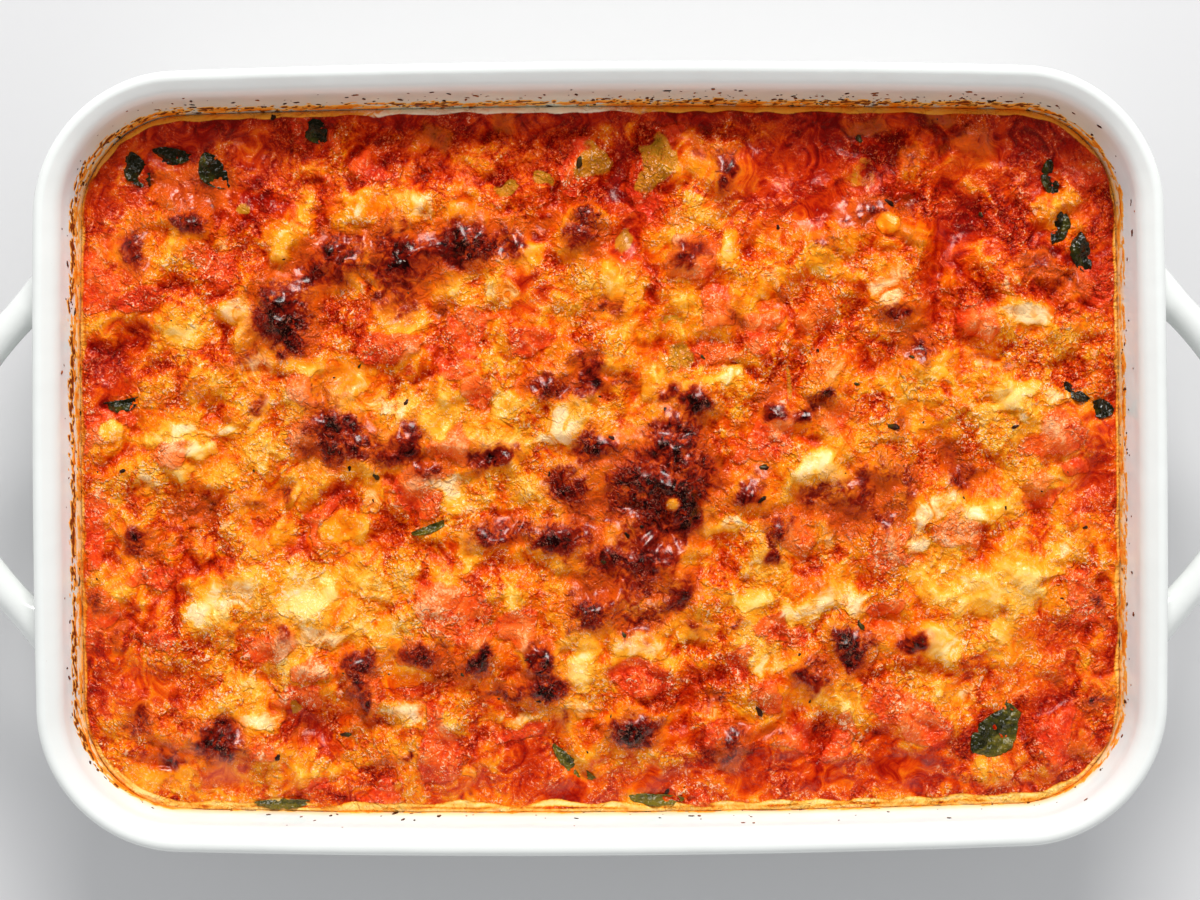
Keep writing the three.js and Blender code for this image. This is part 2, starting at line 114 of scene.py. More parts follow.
def smooth(t):
    """Eases from 0 to 1 as t does, and stays at either beyond."""
    c = np.clip(t, 0, 1)
    return c * c * (3 - 2 * c)


def arc(middle_inset, middle_z, radius, from_deg, to_deg, steps):
    """Places on an arc of the dish's section, each an inset from the rim and a height."""
    a = np.radians(np.linspace(from_deg, to_deg, steps + 1))
    return list(zip(middle_inset + radius * np.cos(a), middle_z + radius * np.sin(a)))


def smooth_bend(points, steps):
    """Places on a smooth bend of the section, drawn from its first point to its last by the others."""
    last = len(points) - 1
    t = np.linspace(0, 1, steps + 1)
    pulls = [math.comb(last, k) * (1 - t) ** (last - k) * t ** k for k in range(last + 1)]
    return [(float(inset), float(z)) for inset, z in np.transpose(pulls) @ np.array(points, float)]


def plan(corner_steps, long_steps, short_steps):
    """The dish's outline, anticlockwise: corner centres to measure from, and outward directions."""
    anchors, outwards = [], []
    corners = [(1, 1, 0), (-1, 1, 90), (-1, -1, 180), (1, -1, 270)]
    for index, (sx, sy, start) in enumerate(corners):
        for i in range(corner_steps):
            a = math.radians(start + 90 * i / corner_steps)
            anchors.append((sx * CORNER_X, sy * CORNER_Y))
            outwards.append((math.cos(a), math.sin(a)))
        a = math.radians(start + 90)
        nx, ny, _ = corners[(index + 1) % 4]
        steps = short_steps if index % 2 else long_steps
        for i in range(steps):
            t = i / steps
            anchors.append(((sx + (nx - sx) * t) * CORNER_X, (sy + (ny - sy) * t) * CORNER_Y))
            outwards.append((math.cos(a), math.sin(a)))
    return np.array(anchors), np.array(outwards)


def dish_ring(anchors, outwards, inset, z):
    """One ring of the dish, set in from the rim's outer edge. inset and z may vary round the ring."""
    reach = (RIM_CORNER - np.asarray(inset, float)).reshape(-1, 1)
    flat = anchors + reach * outwards
    x, y = bow(flat[:, 0], flat[:, 1])
    return np.column_stack([x, y, np.broadcast_to(z, x.shape)])


def make_piece(name, points, quads, triangles=None):
    """A smooth-shaded mesh object from points in millimetres and faces that point outwards."""
    quads = np.asarray(quads, np.int32).reshape(-1, 4)
    triangles = np.asarray([] if triangles is None else triangles, np.int32).reshape(-1, 3)
    mesh = bpy.data.meshes.new(name)
    mesh.vertices.add(len(points))
    mesh.vertices.foreach_set("co", (np.asarray(points, float) * MM).astype(np.float32).ravel())
    corners = np.concatenate([quads.ravel(), triangles.ravel()])
    starts = np.concatenate([4 * np.arange(len(quads)), quads.size + 3 * np.arange(len(triangles))])
    mesh.loops.add(len(corners))
    mesh.loops.foreach_set("vertex_index", corners)
    mesh.polygons.add(len(starts))
    mesh.polygons.foreach_set("loop_start", starts.astype(np.int32))
    mesh.update(calc_edges=True)
    mesh.validate()
    mesh.shade_smooth()
    piece = bpy.data.objects.new(name, mesh)
    bpy.context.scene.collection.objects.link(piece)
    return piece


def loft(rings):
    """Points and faces of a closed skin over rings of equal length, the end rings filled in."""
    count = len(rings[0])
    points = np.vstack([*rings, rings[0].mean(0), rings[-1].mean(0)])
    i = np.arange(count)
    j = (i + 1) % count
    quads = [np.column_stack([i, j, j + count, i + count]) + r * count for r in range(len(rings) - 1)]
    first = np.column_stack([np.full(count, len(points) - 2), j, i])
    last = np.column_stack([np.full(count, len(points) - 1), i, j])
    last[:, 1:] += (len(rings) - 1) * count
    return points, np.vstack(quads), np.vstack([first, last])


def add_attribute(piece, name, columns):
    """A colour attribute that holds up to three fields of numbers, one for each channel."""
    values = np.zeros((len(piece.data.vertices), 4), np.float32)
    values[:, 3] = 1
    for channel, column in enumerate(columns):
        values[:, channel] = column
    attribute = piece.data.attributes.new(name, "FLOAT_COLOR", "POINT")
    attribute.data.foreach_set("color", values.ravel())


class Wire:
    """A socket in a node tree. Python's operators on it add the Math nodes."""

    def __init__(self, nodes, socket):
        self.nodes = nodes
        self.socket = socket

    def __add__(self, other):
        return self.nodes.math("ADD", self, other)

    def __radd__(self, other):
        return self.nodes.math("ADD", other, self)

    def __sub__(self, other):
        return self.nodes.math("SUBTRACT", self, other)

    def __rsub__(self, other):
        return self.nodes.math("SUBTRACT", other, self)

    def __mul__(self, other):
        return self.nodes.math("MULTIPLY", self, other)

    def __rmul__(self, other):
        return self.nodes.math("MULTIPLY", other, self)

    def above(self, low, high):
        """Rises smoothly from 0 to 1 as this goes from low to high."""
        inputs = {"Value": self, "From Min": low, "From Max": high}
        return self.nodes.add("ShaderNodeMapRange", {"interpolation_type": "SMOOTHSTEP"}, inputs)

    def absolute(self):
        return self.nodes.math("ABSOLUTE", self)

    def between(self, low, high):
        """This, held between two numbers."""
        return self.nodes.math("MINIMUM", self.nodes.math("MAXIMUM", self, low), high)

    def outputs(self):
        """Every output of the node that this comes from, by name."""
        return {s.name: Wire(self.nodes, s) for s in self.socket.node.outputs if s.enabled}


class Nodes:
    """A node tree of any kind, built up node by node."""

    def __init__(self, tree):
        self.tree = tree
        tree.nodes.clear()

    def add(self, kind, settings=None, inputs=None, output=None):
        """Adds a node, sets it, fills its sockets by name or number, and returns one output."""
        made = self.tree.nodes.new(kind)
        for name, value in (settings or {}).items():
            if name == "stops":
                self.set_stops(made.color_ramp.elements, value)
            else:
                setattr(made, name, value)
        for key, value in (inputs or {}).items():
            named = [s for s in made.inputs if s.enabled and s.name == key]
            socket = named[0] if named else made.inputs[key]
            if isinstance(value, Wire):
                self.tree.links.new(value.socket, socket)
            else:
                socket.default_value = value
        shown = [s for s in made.outputs if s.enabled and output in (None, s.name)]
        return Wire(self, shown[0]) if shown else None

    def set_stops(self, elements, stops):
        """Fills a ramp, which starts with two elements, with places from 0 to 1 and their colours."""
        for i, (place, colour) in enumerate(stops):
            element = elements[i] if i < 2 else elements.new(place)
            element.position = place
            element.color = colour

    def math(self, operation, *values):
        return self.add("ShaderNodeMath", {"operation": operation}, dict(enumerate(values)))


class Finish(Nodes):
    """One material."""

    def __init__(self, name):
        self.material = bpy.data.materials.new(name)
        self.material.use_nodes = True
        super().__init__(self.material.node_tree)

    def mix(self, share, first, second):
        """Two colours mixed: all first at a share of 0, all second at 1."""
        return self.add("ShaderNodeMix", {"data_type": "RGBA"}, {"Factor": share, "A": first, "B": second})

    def ramp(self, share, stops):
        """A colour that runs through the stops as the share goes from 0 to 1."""
        return self.add("ShaderNodeValToRGB", {"stops": stops}, {"Fac": share}, "Color")

    def place(self):
        return self.add("ShaderNodeTexCoord", output="Object")

    def noise(self, vector, scale, detail=2, roughness=0.5, distortion=0, dimensions="3D"):
        inputs = {"Vector": vector, "Scale": scale, "Detail": detail, "Roughness": roughness,
                  "Distortion": distortion}
        return self.add("ShaderNodeTexNoise", {"noise_dimensions": dimensions}, inputs, "Fac")

    def fields(self, name):
        """The three fields of one of the piece's colour attributes."""
        colour = self.add("ShaderNodeAttribute", {"attribute_name": name}, None, "Color")
        return list(self.add("ShaderNodeSeparateColor", None, {"Color": colour}).outputs().values())

    def parts(self, vector):
        """The three parts of a vector."""
        return list(self.add("ShaderNodeSeparateXYZ", None, {"Vector": vector}).outputs().values())

    def surface(self, inputs, bumps=()):
        """Ends the material in a Principled shader. bumps are (height, depth in metres) pairs."""
        normal = None
        for height, depth in bumps:
            sockets = {"Height": height, "Distance": depth}
            if normal is not None:
                sockets["Normal"] = normal
            normal = self.add("ShaderNodeBump", None, sockets)
        if normal is not None:
            inputs = {**inputs, "Normal": normal}
        shader = self.add("ShaderNodeBsdfPrincipled", None, inputs)
        self.add("ShaderNodeOutputMaterial", None, {"Surface": shader})
        return self.material


lip_under = DISH_HEIGHT - LIP_DEPTH
heel_inset = LIP_OVERHANG + (lip_under - HEEL_RADIUS) * OUTER_LEAN + HEEL_RADIUS
foot_outer = heel_inset + 1
foot_inner = foot_outer + FOOT_WIDTH
fillet_z = FLOOR_TOP + FLOOR_FILLET
fillet_inset = wall_inset(fillet_z) + FLOOR_FILLET
# A smooth throat leads from the outer wall up to the lip's outermost line
under_lip = smooth_bend([(2.45, 55.2), (2.2, 58), (0, 59.3), (0, LIP_INNER_TOP)], 8)[:-1]
roll_middle = DISH_HEIGHT - LIP_ROLL_RADIUS
lip_roll = arc(LIP_ROLL_RADIUS, roll_middle, LIP_ROLL_RADIUS, 180, 90 - LIP_BEVEL_DEG, 12)
bevel_start = lip_roll[-1]
bevel_drop = (LIP_BEVEL_END - bevel_start[0]) * math.tan(math.radians(LIP_BEVEL_DEG))
bevel_end_z = bevel_start[1] - bevel_drop
# The bevel turns softly into the inner wall
lip_inside = smooth_bend([
    (LIP_BEVEL_END - 1.5, bevel_end_z + bevel_drop * 0.46),
    (LIP_BEVEL_END + 0.45, bevel_end_z - 0.3),
    (wall_inset(WALL_TOP), WALL_TOP),
], 8)
section = [
    (foot_inner + 1.2, FOOT_RECESS),
    (foot_inner + 0.5, 0.7),
    *arc(foot_inner - FOOT_EDGE_RADIUS, FOOT_EDGE_RADIUS, FOOT_EDGE_RADIUS, 0, -90, 3),
    *arc(foot_outer + FOOT_EDGE_RADIUS, FOOT_EDGE_RADIUS, FOOT_EDGE_RADIUS, 270, 190, 3),
    *arc(heel_inset, HEEL_RADIUS + FOOT_LIFT, HEEL_RADIUS, 268, 180 + OUTER_LEAN_DEG, 14),
    *under_lip,
    *lip_roll,
    *lip_inside,
    *[(wall_inset(z), z) for z in np.linspace(LIP_INNER_TOP - 4, fillet_z + 4, 8)],
    *arc(fillet_inset, fillet_z, FLOOR_FILLET, 180 - INNER_LEAN_DEG, 270, 10),
]
anchors, outwards = plan(22, 60, 40)
dish = make_piece("stoneware_dish", *loft([dish_ring(anchors, outwards, i, z) for i, z in section]))


def handle_rings(side, bar_sides=36, bar_steps=72):
    """Rings of a handle's bar, which turn parallel to the wall as they reach it."""
    wall_out = -LIP_OVERHANG - (DISH_HEIGHT - LIP_DEPTH - HANDLE_LEVEL) * OUTER_LEAN
    root_y = HANDLE_HALF_SPAN * math.sqrt(1 - wall_out / HANDLE_REACH)
    stations = [(root_y * math.sin((s / bar_steps - 0.5) * math.pi), 0) for s in range(bar_steps + 1)]
    stations = [(-root_y, HANDLE_TENON), *stations, (root_y, HANDLE_TENON)]
    rings = []
    for y, tenon in stations:
        out = HANDLE_REACH * (1 - (y / HANDLE_HALF_SPAN) ** 2)
        slope = -2 * HANDLE_REACH * y / HANDLE_HALF_SPAN ** 2
        run = math.hypot(slope, 1)
        root = float(smooth(1 - (out - wall_out) / HANDLE_FLARE_RUN))
        wide_x = HANDLE_BAR_WIDTH / 2 / run * (1 - root)
        flare = math.copysign(HANDLE_ROOT_HALF_WIDTH, y) * root
        wide_y = -HANDLE_BAR_WIDTH / 2 * slope / run * (1 - root) + flare
        half_tall = HANDLE_BAR_HEIGHT / 2 * (1 - root) + HANDLE_ROOT_HALF_HEIGHT * root
        a = np.linspace(0, 2 * math.pi, bar_sides, endpoint=False)
        x = RIM_LENGTH / 2 + out - tenon + wide_x * np.cos(a)
        ring = np.column_stack([side * x, y + wide_y * np.cos(a), HANDLE_LEVEL + half_tall * np.sin(a)])
        rings.append(ring[::-1] if side > 0 else ring)
    return rings


for side in (1, -1):
    handle = make_piece("handle", *loft(handle_rings(side)))
    union = dish.modifiers.new("handle", "BOOLEAN")
    union.operation = "UNION"
    union.solver = "EXACT"
    union.object = handle
    joined = bpy.data.meshes.new_from_object(dish.evaluated_get(bpy.context.evaluated_depsgraph_get()))
    dish.modifiers.clear()
    dish.data = joined
    bpy.data.objects.remove(handle)
dish.data.name = "stoneware_dish"
dish.data.shade_smooth()
dish.data.set_sharp_from_angle(angle=math.radians(SHARP_EDGE_DEG))
# Which points face the food: their normals lean towards the dish's middle
places = np.empty(len(dish.data.vertices) * 3)
normals = np.empty(len(dish.data.vertices) * 3)
dish.data.vertices.foreach_get("co", places)
dish.data.vertices.foreach_get("normal", normals)
leaning = -(places * normals).reshape(-1, 3)[:, :2].sum(1)
add_attribute(dish, "wall", [smooth(leaning / 0.03)])

glaze = Finish("white_glaze")
spot = glaze.place()
along_x, along_y, height_z = glaze.parts(spot)
facing_food = glaze.fields("wall")[0]
unglazed = 1 - height_z.above(*FOOT_TOP)
# By the food the wall's white is painted cooler, a painted tint against the food's red glow that
# falls on it. A film of fat makes it creamy at the ring, and yellower on the far side.
inside = facing_food * (FILM_HALF_LENGTH - along_x.absolute()).above(0, 0.001)
far = along_y.above(*FAR_WALL)
film = inside * (1 - (height_z - far * 0.001).above(*FILM_TOP))
pooled = glaze.noise(spot, 38, 3, 0.5)
flecks = glaze.noise(spot, 900, 1).above(0.79, 0.83)
glaze_colour = glaze.mix(pooled.above(0.2, 0.8) * 0.25, GLAZE_WHITE, GLAZE_THIN)
near_colour = glaze.mix(height_z.above(*RING_SHADE_TOP), GLAZE_AT_RING, GLAZE_COOLED_AGAINST_GLOW)
film_colour = glaze.mix(far, near_colour, GLAZE_FAR_WALL)
glaze_colour = glaze.mix(film, glaze_colour, film_colour)
glaze_colour = glaze.mix(flecks * 0.12, glaze_colour, IRON_FLECK)
glaze_colour = glaze.mix(unglazed, glaze_colour, BARE_CLAY)
dish.data.materials.clear()
dish.data.materials.append(glaze.surface(
    {"Base Color": glaze_colour, "Roughness": 0.1 + pooled * 0.08 + unglazed * 0.6, "IOR": 1.5},
    [(glaze.noise(spot, 55, 2), 0.0006), (glaze.noise(spot, 420, 2), 0.00004)],
))
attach(dish, "root")
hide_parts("dish")


# The lasagna
# Pasta sheets, tomato sauce and cheese, baked as one mass from wall to wall. Tomato lumps and swells
# of melted cheese stand up from its top, burnt where they are highest, with wet sauce between them.
SAUCE_LEVEL = 46.6
FOOD_CROWN = 1.6
SHORE_WIDTH = 11
RELIEF = 1.3
RIPPLE = 0.45
FOOD_COLUMNS = 360
FOOD_ROWS = 170
FOOD_CORNER_ROWS = 44
FOOD_WALL_GAP = 0.5
FOOD_SIDE_LEVEL = 30
EDGE_RECESS = 0.4
SHOULDER_WIDTH = 3.2
SHOULDER_DROP = 2.4
FAR_SHOULDER_DROP = 3.4
NEAR_SHOULDER_DROP = 0.9
# How wide the fat has set along each wall
FAR_FAT_WIDTH = 2.8
NEAR_FAT_WIDTH = 3.3
LEFT_FAT_WIDTH = 2.4
RIGHT_FAT_WIDTH = 2.1
# How far a burnt part scorches what is round it
SCORCH_REACH = 4
SCORCH_SHARE = 0.46
# The folds that meet in thin curved creases: size, seed, height
FOLDS = [(17, 31, 3.6), (8.5, 32, 1.5), (4.2, 33, 0.8)]

# The mounds and hollows, in millimetres from the dish's middle: x, y, half length, half width, height,
# and a turn in degrees if there is one
BROWNED_PEAKS = [
    (-125, 73, 10, 8, 3.2), (-141, 64, 8, 10, 2.8), (-98, 46, 14, 14, 4.2), (-82, 61, 11, 9, 3),
    (-60, 62, 13, 11, 4.6), (-37, 65, 12, 9, 4.4), (-4, 70, 9, 10, 3), (39, 87, 9, 10, 3.2),
    (28, 61, 14, 9, 3.4), (69, 64, 14, 9, 3.6, 15), (91, 67, 13, 10, 4.6, -20), (114, 96, 12, 9, 2.4),
    (91, 45, 11, 9, 3), (70, 20, 13, 8, 4, 35), (31, 18, 9, 10, 3.6), (2, 30, 9, 13, 3.6),
    (-17, 20, 13, 9, 3.6, 5), (-3, 5, 12, 10, 3.8), (20, 3, 14, 12, 5), (10, -9, 12, 11, 3),
    (28, -12, 11, 11, 3.6), (45, -11, 9, 8, 3), (54, -25, 8, 13, 3), (-31, 1, 12, 8, 3, 10),
    (-60, 3, 14, 9, 3.4, 10), (-78, 8, 14, 12, 4.2), (6, -31, 14, 9, 3), (24, -40, 11, 9, 3.4, -45),
    (2, -46, 12, 9, 3.2), (-13, -25, 10, 9, 3), (-32, -24, 14, 8, 2.8), (-37, -62, 14, 9, 4.2, 25),
    (-18, -66, 10, 14, 4), (-55, -59, 13, 8, 3), (-73, -66, 10, 14, 3.4), (77, -57, 11, 10, 3.6),
    (64, -66, 9, 9, 3.2), (94, -56, 13, 9, 3, 10), (10, -85, 15, 9, 3.4), (38, -88, 12, 8, 3.2),
    (-117, -85, 14, 12, 4), (-140, -79, 9, 11, 3), (86, -7, 16, 17, 3.4), (-89, 20, 13, 14, 3),
]
TOMATO_LUMPS = [
    (-141, 49, 12, 11, 3.4), (-65, 34, 16, 11, 3.4, -10), (-43, 29, 12, 9, 2.4), (-21, 37, 12, 8, 2.4),
    (-131, 2, 12, 8, 2.4, 20), (-153, -47, 8, 13, 2), (-133, -55, 10, 9, 2.6), (-45, -45, 19, 14, 4.2, 10),
    (-50, -88, 14, 16, 3), (12, -67, 17, 12, 3.6), (49, -70, 10, 12, 2.4), (95, -81, 25, 12, 3.6, -32),
    (-104, -89, 11, 9, 2.6), (-88, -65, 12, 9, 2.6), (86, -28, 9, 10, 2.4), (140, 6, 14, 12, 3),
    (139, -90, 17, 11, 2.2), (27, 86, 13, 11, 2.6),
]
CHEESE_SWELLS = [
    (-98, 69, 10, 13, 2), (-72, 77, 14, 11, 2.4), (-50, 78, 15, 9, 2.4), (-21, 53, 15, 12, 3.2),
    (4, 55, 10, 13, 3), (34, 50, 18, 10, 2.4), (89, 54, 15, 11, 2.8), (125, 56, 15, 13, 3.2),
    (130, 40, 17, 9, 2.4), (128, 18, 17, 9, 2.6), (66, -2, 15, 8, 3, 25), (100, -20, 18, 9, 3, 50),
    (120, -17, 13, 9, 2.6), (128, -38, 15, 14, 3), (103, -41, 20, 10, 2.6), (104, -60, 15, 12, 2.8),
    (-101, -34, 18, 12, 2.6), (-90, -51, 20, 10, 2.4), (-122, -47, 13, 9, 2), (-6, -60, 9, 13, 2.2),
    (-27, -42, 11, 9, 2.6), (66, -45, 20, 9, 2.6), (-46, 15, 14, 9, 2.2), (-125, 28, 15, 11, 2),
]
HOLLOWS = [
    (6, 86, 6, 15, -3.2, -5), (9, 67, 6, 10, -2.8, -15), (109, 73, 11, 13, -4), (104, 51, 5, 15, -2.4, -5),
    (109, -3, 15, 8, -3, -50), (-89, -81, 13, 7, -2.8, -25), (136, -14, 13, 6, -2.4, 25),
    (146, -62, 6, 13, -2, -10), (-10, 48, 6, 13, -2.6), (35, -20, 7, 14, -2.4), (-125, -15, 13, 8, -2),
    (120, 30, 11, 6, -2.2, -15), (152, -7, 7, 12, -1.8), (-140, 30, 14, 8, -1.6),
]

# The parts of the top from here on: x, y, half length, half width, then how strong a part is if it
# isn't 1, and its turn in degrees if there is one. First what has browned or burnt.
BURNT = [
    (20, -5, 12, 13, .35), (24, -14, 12, 9, .3), (4, -34, 14, 8, .25), (-2, -2, 12, 6, .15),
    (-125, 73, 5, 4, .85), (-141, 65, 4, 6, .85), (-98, 46, 9, 10, .8), (-95, 38, 6, 4, .8),
    (-82, 62, 8, 6, .7), (-85, 57, 8, 5, .6), (-61, 62, 8, 9, 1), (-50, 63, 9, 8, .4), (-37, 66, 9, 6, .95),
    (-43, 64, 5, 4, .7), (-77, 67, 5, 3, .6), (-67, 49, 3, 2.5, .6), (-59, 48, 4, 5, .5),
    (-48, 46, 2.5, 4, .6, -20), (-27, 64, 5, 4, .65, -30), (-19, 73, 7, 3, .4), (-3, 76, 3, 3, .7),
    (-4, 67, 6, 7, .7), (-49, 98, 4, 3, .7), (-28, 103, 4, 2, .6), (39, 87, 4, 5, .85, -20),
    (30, 93, 3, 2.5, .7), (28, 61, 8, 3, .65, 10), (68, 66, 5, 3, .5), (3, 46, 5, 4, .65),
    (76, 73, 4, 2, .5), (42, 44, 5, 2.5, .55, -40), (55, 49, 3, 3, .5), (95, 67, 6, 4, .35),
    (91, 44, 6, 3.5, .75), (97, 34, 4, 4, .8), (114, 95, 6, 4, .55), (134, 58, 4, 4, .75),
    (146, 52, 5, 4, .55), (82, 102, 5, 2, .7), (96, 91, 4, 3, .6), (106, 105, 3, 1.5, .7),
    (-84, 8, 5, 9, .7), (-90, 20, 8, 9, .15), (-78, 11, 6, 3.5, .85), (-75, 4, 8, 5, .7),
    (-60, 1, 7, 4, .85), (-58, 8, 5, 5, .6), (-53, -5, 5, 3, .5, 30), (-38, 0, 5, 6, .55),
    (-31, 1, 7, 3, .85, 15), (-17, 21, 8, 4, .75, 5), (-3, 26, 4.5, 7, .95), (-2, 4, 6, 4, .85),
    (-10, -9, 6, 5, .8), (-7, -17, 4, 4, .5), (-13, -25, 4.5, 4.5, .95), (-30, -23, 10, 3.5, .75),
    (-6, -24, 4, 3, .5), (20, 4, 7, 7, 1), (26, 6, 4, 5, .9), (10, -8, 6, 7, .9), (28, -12, 5, 6, 1),
    (15, -15, 6, 6, .9), (32, -3, 3, 3.5, .85), (20, -22, 7, 4, .85), (3, -15, 5, 3, .7),
    (30, 16, 3.5, 5, .95), (22, 20, 3, 2.5, .75), (9, 22, 5, 1.2, .7), (53, 13, 3.5, 3, .8),
    (52, 20, 3, 4, .45), (67, 17, 8, 3, .8, 40), (63, 12, 3, 3, .6), (45, -12, 4, 3.5, .85),
    (48, -5, 3, 4, .5), (65, -12, 5, 2.2, .65, 35), (54, -22, 3, 7, .6), (54, -31, 3, 3, .6),
    (3, -31, 6, 3.5, .9), (14, -31, 4, 4, .95), (22, -31, 3, 4, .6), (86, -7, 9, 10, .4),
    (94, -10, 3, 5, .6), (87, -18, 5, 2, .6), (80, -8, 2, 5, .6), (75, -16, 6, 8, .35),
    (108, 0, 9, 4, .6, -45), (110, -6, 4, 5, .6), (90, 10, 4, 3, .45), (118, 30, 4, 2.5, .5),
    (127, 28, 3, 1.5, .4), (-125, -14, 8, 6, .5), (-105, -12, 6, 3, .45, 15), (-127, -25, 8, 2, .3),
    (-142, -22, 4, 3.5, .75), (-141, -28, 4, 3, .6), (-97, -10, 2.5, 1.8, .65), (-109, 32, 6, 2, .55, 20),
    (-123, 22, 5, 2, .5, 15), (-105, 17, 3, 3.5, .55), (-140, -79, 4, 5, .9), (-133, -91, 4, 4, .85),
    (-117, -85, 8, 6, .95), (-148, -54, 2.5, 4, .65), (-155, -42, 3, 4, .6), (-98, -52, 2.5, 4, .5),
    (-114, -55, 2.5, 2, .4), (-55, -59, 7, 3.5, .75), (-73, -61, 5, 4, .75), (-73, -72, 3.5, 7, .8, -10),
    (-38, -62, 7, 3.5, .95, 25), (-30, -71, 6, 2, .8), (-18, -62, 4, 7, .8), (-18, -72, 5, 4, .95),
    (-13, -68, 4, 3, .7), (-4, -46, 6, 6, .9), (12, -50, 5, 3, .7), (24, -42, 4, 6, .85, -45),
    (10, -38, 8, 5, .6), (10, -84, 8, 5, .9), (39, -88, 3.5, 4, .95, -30), (37, -92, 3, 2, .8),
    (29, -52, 3, 2, .75), (41, -51, 2.5, 2, .6), (35, -74, 3.5, 3, .65), (44, -84, 2.5, 1.5, .7),
    (53, -85, 3.5, 2.5, .7), (76, -56, 5, 5, .9), (78, -62, 4, 4, .7), (64, -67, 5, 5, .75),
    (94, -57, 5.5, 3, .9, 15), (152, -46, 2.5, 3, .75), (152, -77, 5, 1.5, .85), (140, -68, 3, 2.5, .5),
    (148, -89, 2, 4, .5), (-12, -81, 3, 2.5, .55), (-41, -103, 2, 2.5, .6), (-59, -91, 3, 1.5, .8),
    (-66, -92, 2.5, 2, .4), (-52, -68, 1.5, 1, .6), (-93, -86, 2.5, 2.5, .5), (66, -38, 4, 2.5, .4),
    (84, 74, 8, 4, .75), (-124, 84, 12, 6, .6), (8, -50, 9, 6, .35), (-77, 25, 9, 6, .3),
    (9, -25, 6, 5, .35), (72, -19, 14, 9, .3),
]
# Melted yellow cheese
YELLOW = [
    (-98, 67, 5, 8), (-125, 38, 8, 3), (-72, 77, 8, 6), (-42, 75, 6, 4), (-19, 63, 5, 3.5),
    (-62, 43, 10, 6, .8), (-10, 48, 2.5, 9, .6), (41, 65, 4, 5), (4, 54, 5, 7), (45, 50, 6, 5, .7),
    (82, 84, 6, 4, .6), (76, 88, 6, 4, .6), (115, 82, 5, 4, .5), (107, 52, 3, 11, .6), (-150, 8, 4, 3),
    (-138, 7, 6, 3, .7), (-123, 3, 5, 2), (-104, 13, 2.5, 7, 1, -20), (-126, -3, 4, 1.5),
    (-98, -21, 5, 5, .8), (-82, -22, 5, 4), (-103, -35, 9, 5, .8), (-92, 30, 7, 3), (-45, 16, 5, 5),
    (-50, 11, 4, 3), (-76, -20, 5, 5), (-44, -13, 4, 3), (-29, 16, 4, 4), (36, 24, 3, 2), (42, 25, 3, 2),
    (30, 22, 4, 2), (66, -2, 7, 3, 1, 25), (128, 20, 9, 3, 1, 10), (125, 15, 6, 2), (130, -33, 12, 5),
    (118, -17, 7, 4, .8), (103, 28, 3, 5), (-90, -40, 10, 7), (-140, -97, 9, 4), (-115, -103, 10, 2.5, .9),
    (-93, -96, 6, 5, .7), (-27, -42, 4, 4), (-60, -66, 7, 3), (-5, -62, 5, 8), (-33, -90, 4, 6, .7),
    (45, -43, 6, 4), (100, -38, 8, 7, .75), (115, -42, 8, 8), (128, -40, 6, 9, .85), (123, -53, 4, 5, .8),
    (104, -56, 8, 8, .9), (133, -60, 11, 12, .35),
]
# Pale, whitish cheese
CREAM = [
    (-115, 67, 4, 5), (-73, 75, 2, 2, 1.2), (-112, 47, 6, 4, 1, 30), (-52, 78, 8, 5), (-28, 51, 7, 5, .8),
    (50, 54, 4, 5), (88, 52, 9, 6), (124, 57, 6, 6, 1.1), (130, 43, 9, 4), (-140, -9, 4, 3),
    (-128, 10, 6, 1.5), (-117, 8, 7, 1, 1.2), (-106, 29, 5, 4), (-113, -19, 2, 2, 1.1),
    (-136, -8, 1.5, 1.5, 1.1), (-73, 26, 7, 5, .7), (-65, 17, 8, 3), (-70, -12, 3, 4), (-46, -9, 5, 3),
    (-38, -15, 3, 3), (-12, 8, 8, 2, 1, 15), (-13, 12, 3, 3, 1.1), (41, -20, 3, 2.5, 1.2, 40),
    (68, -27, 3, 5, .9), (102, -17, 9, 3.5, 1.2, 45), (96, -28, 5, 3), (140, 18, 4, 2), (127, 11, 5, 1.2),
    (121, 28, 5, 1.5), (141, -27, 3, 3), (115, -16, 2, 2), (-112, -42, 8, 6, .9), (-122, -46, 3, 3),
    (-86, -54, 8, 4, 1.2), (-105, -79, 8, 2.5), (-60, -78, 7, 3), (-28, -79, 7, 2, .9), (-6, -75, 5, 3),
    (-42, -96, 3, 2.5, .8), (13, -57, 9, 3.5, .9), (42, -75, 4, 6, .6), (35, -79, 5, 1.5),
    (60, -48, 9, 3, .9, 15), (70, -42, 5, 4, .9), (78, -44, 5, 5), (52, -62, 5, 4, .8), (112, -72, 3, 3),
    (104, -56, 6, 6, .7), (66, -2, 5, 2, .9, 25),
]
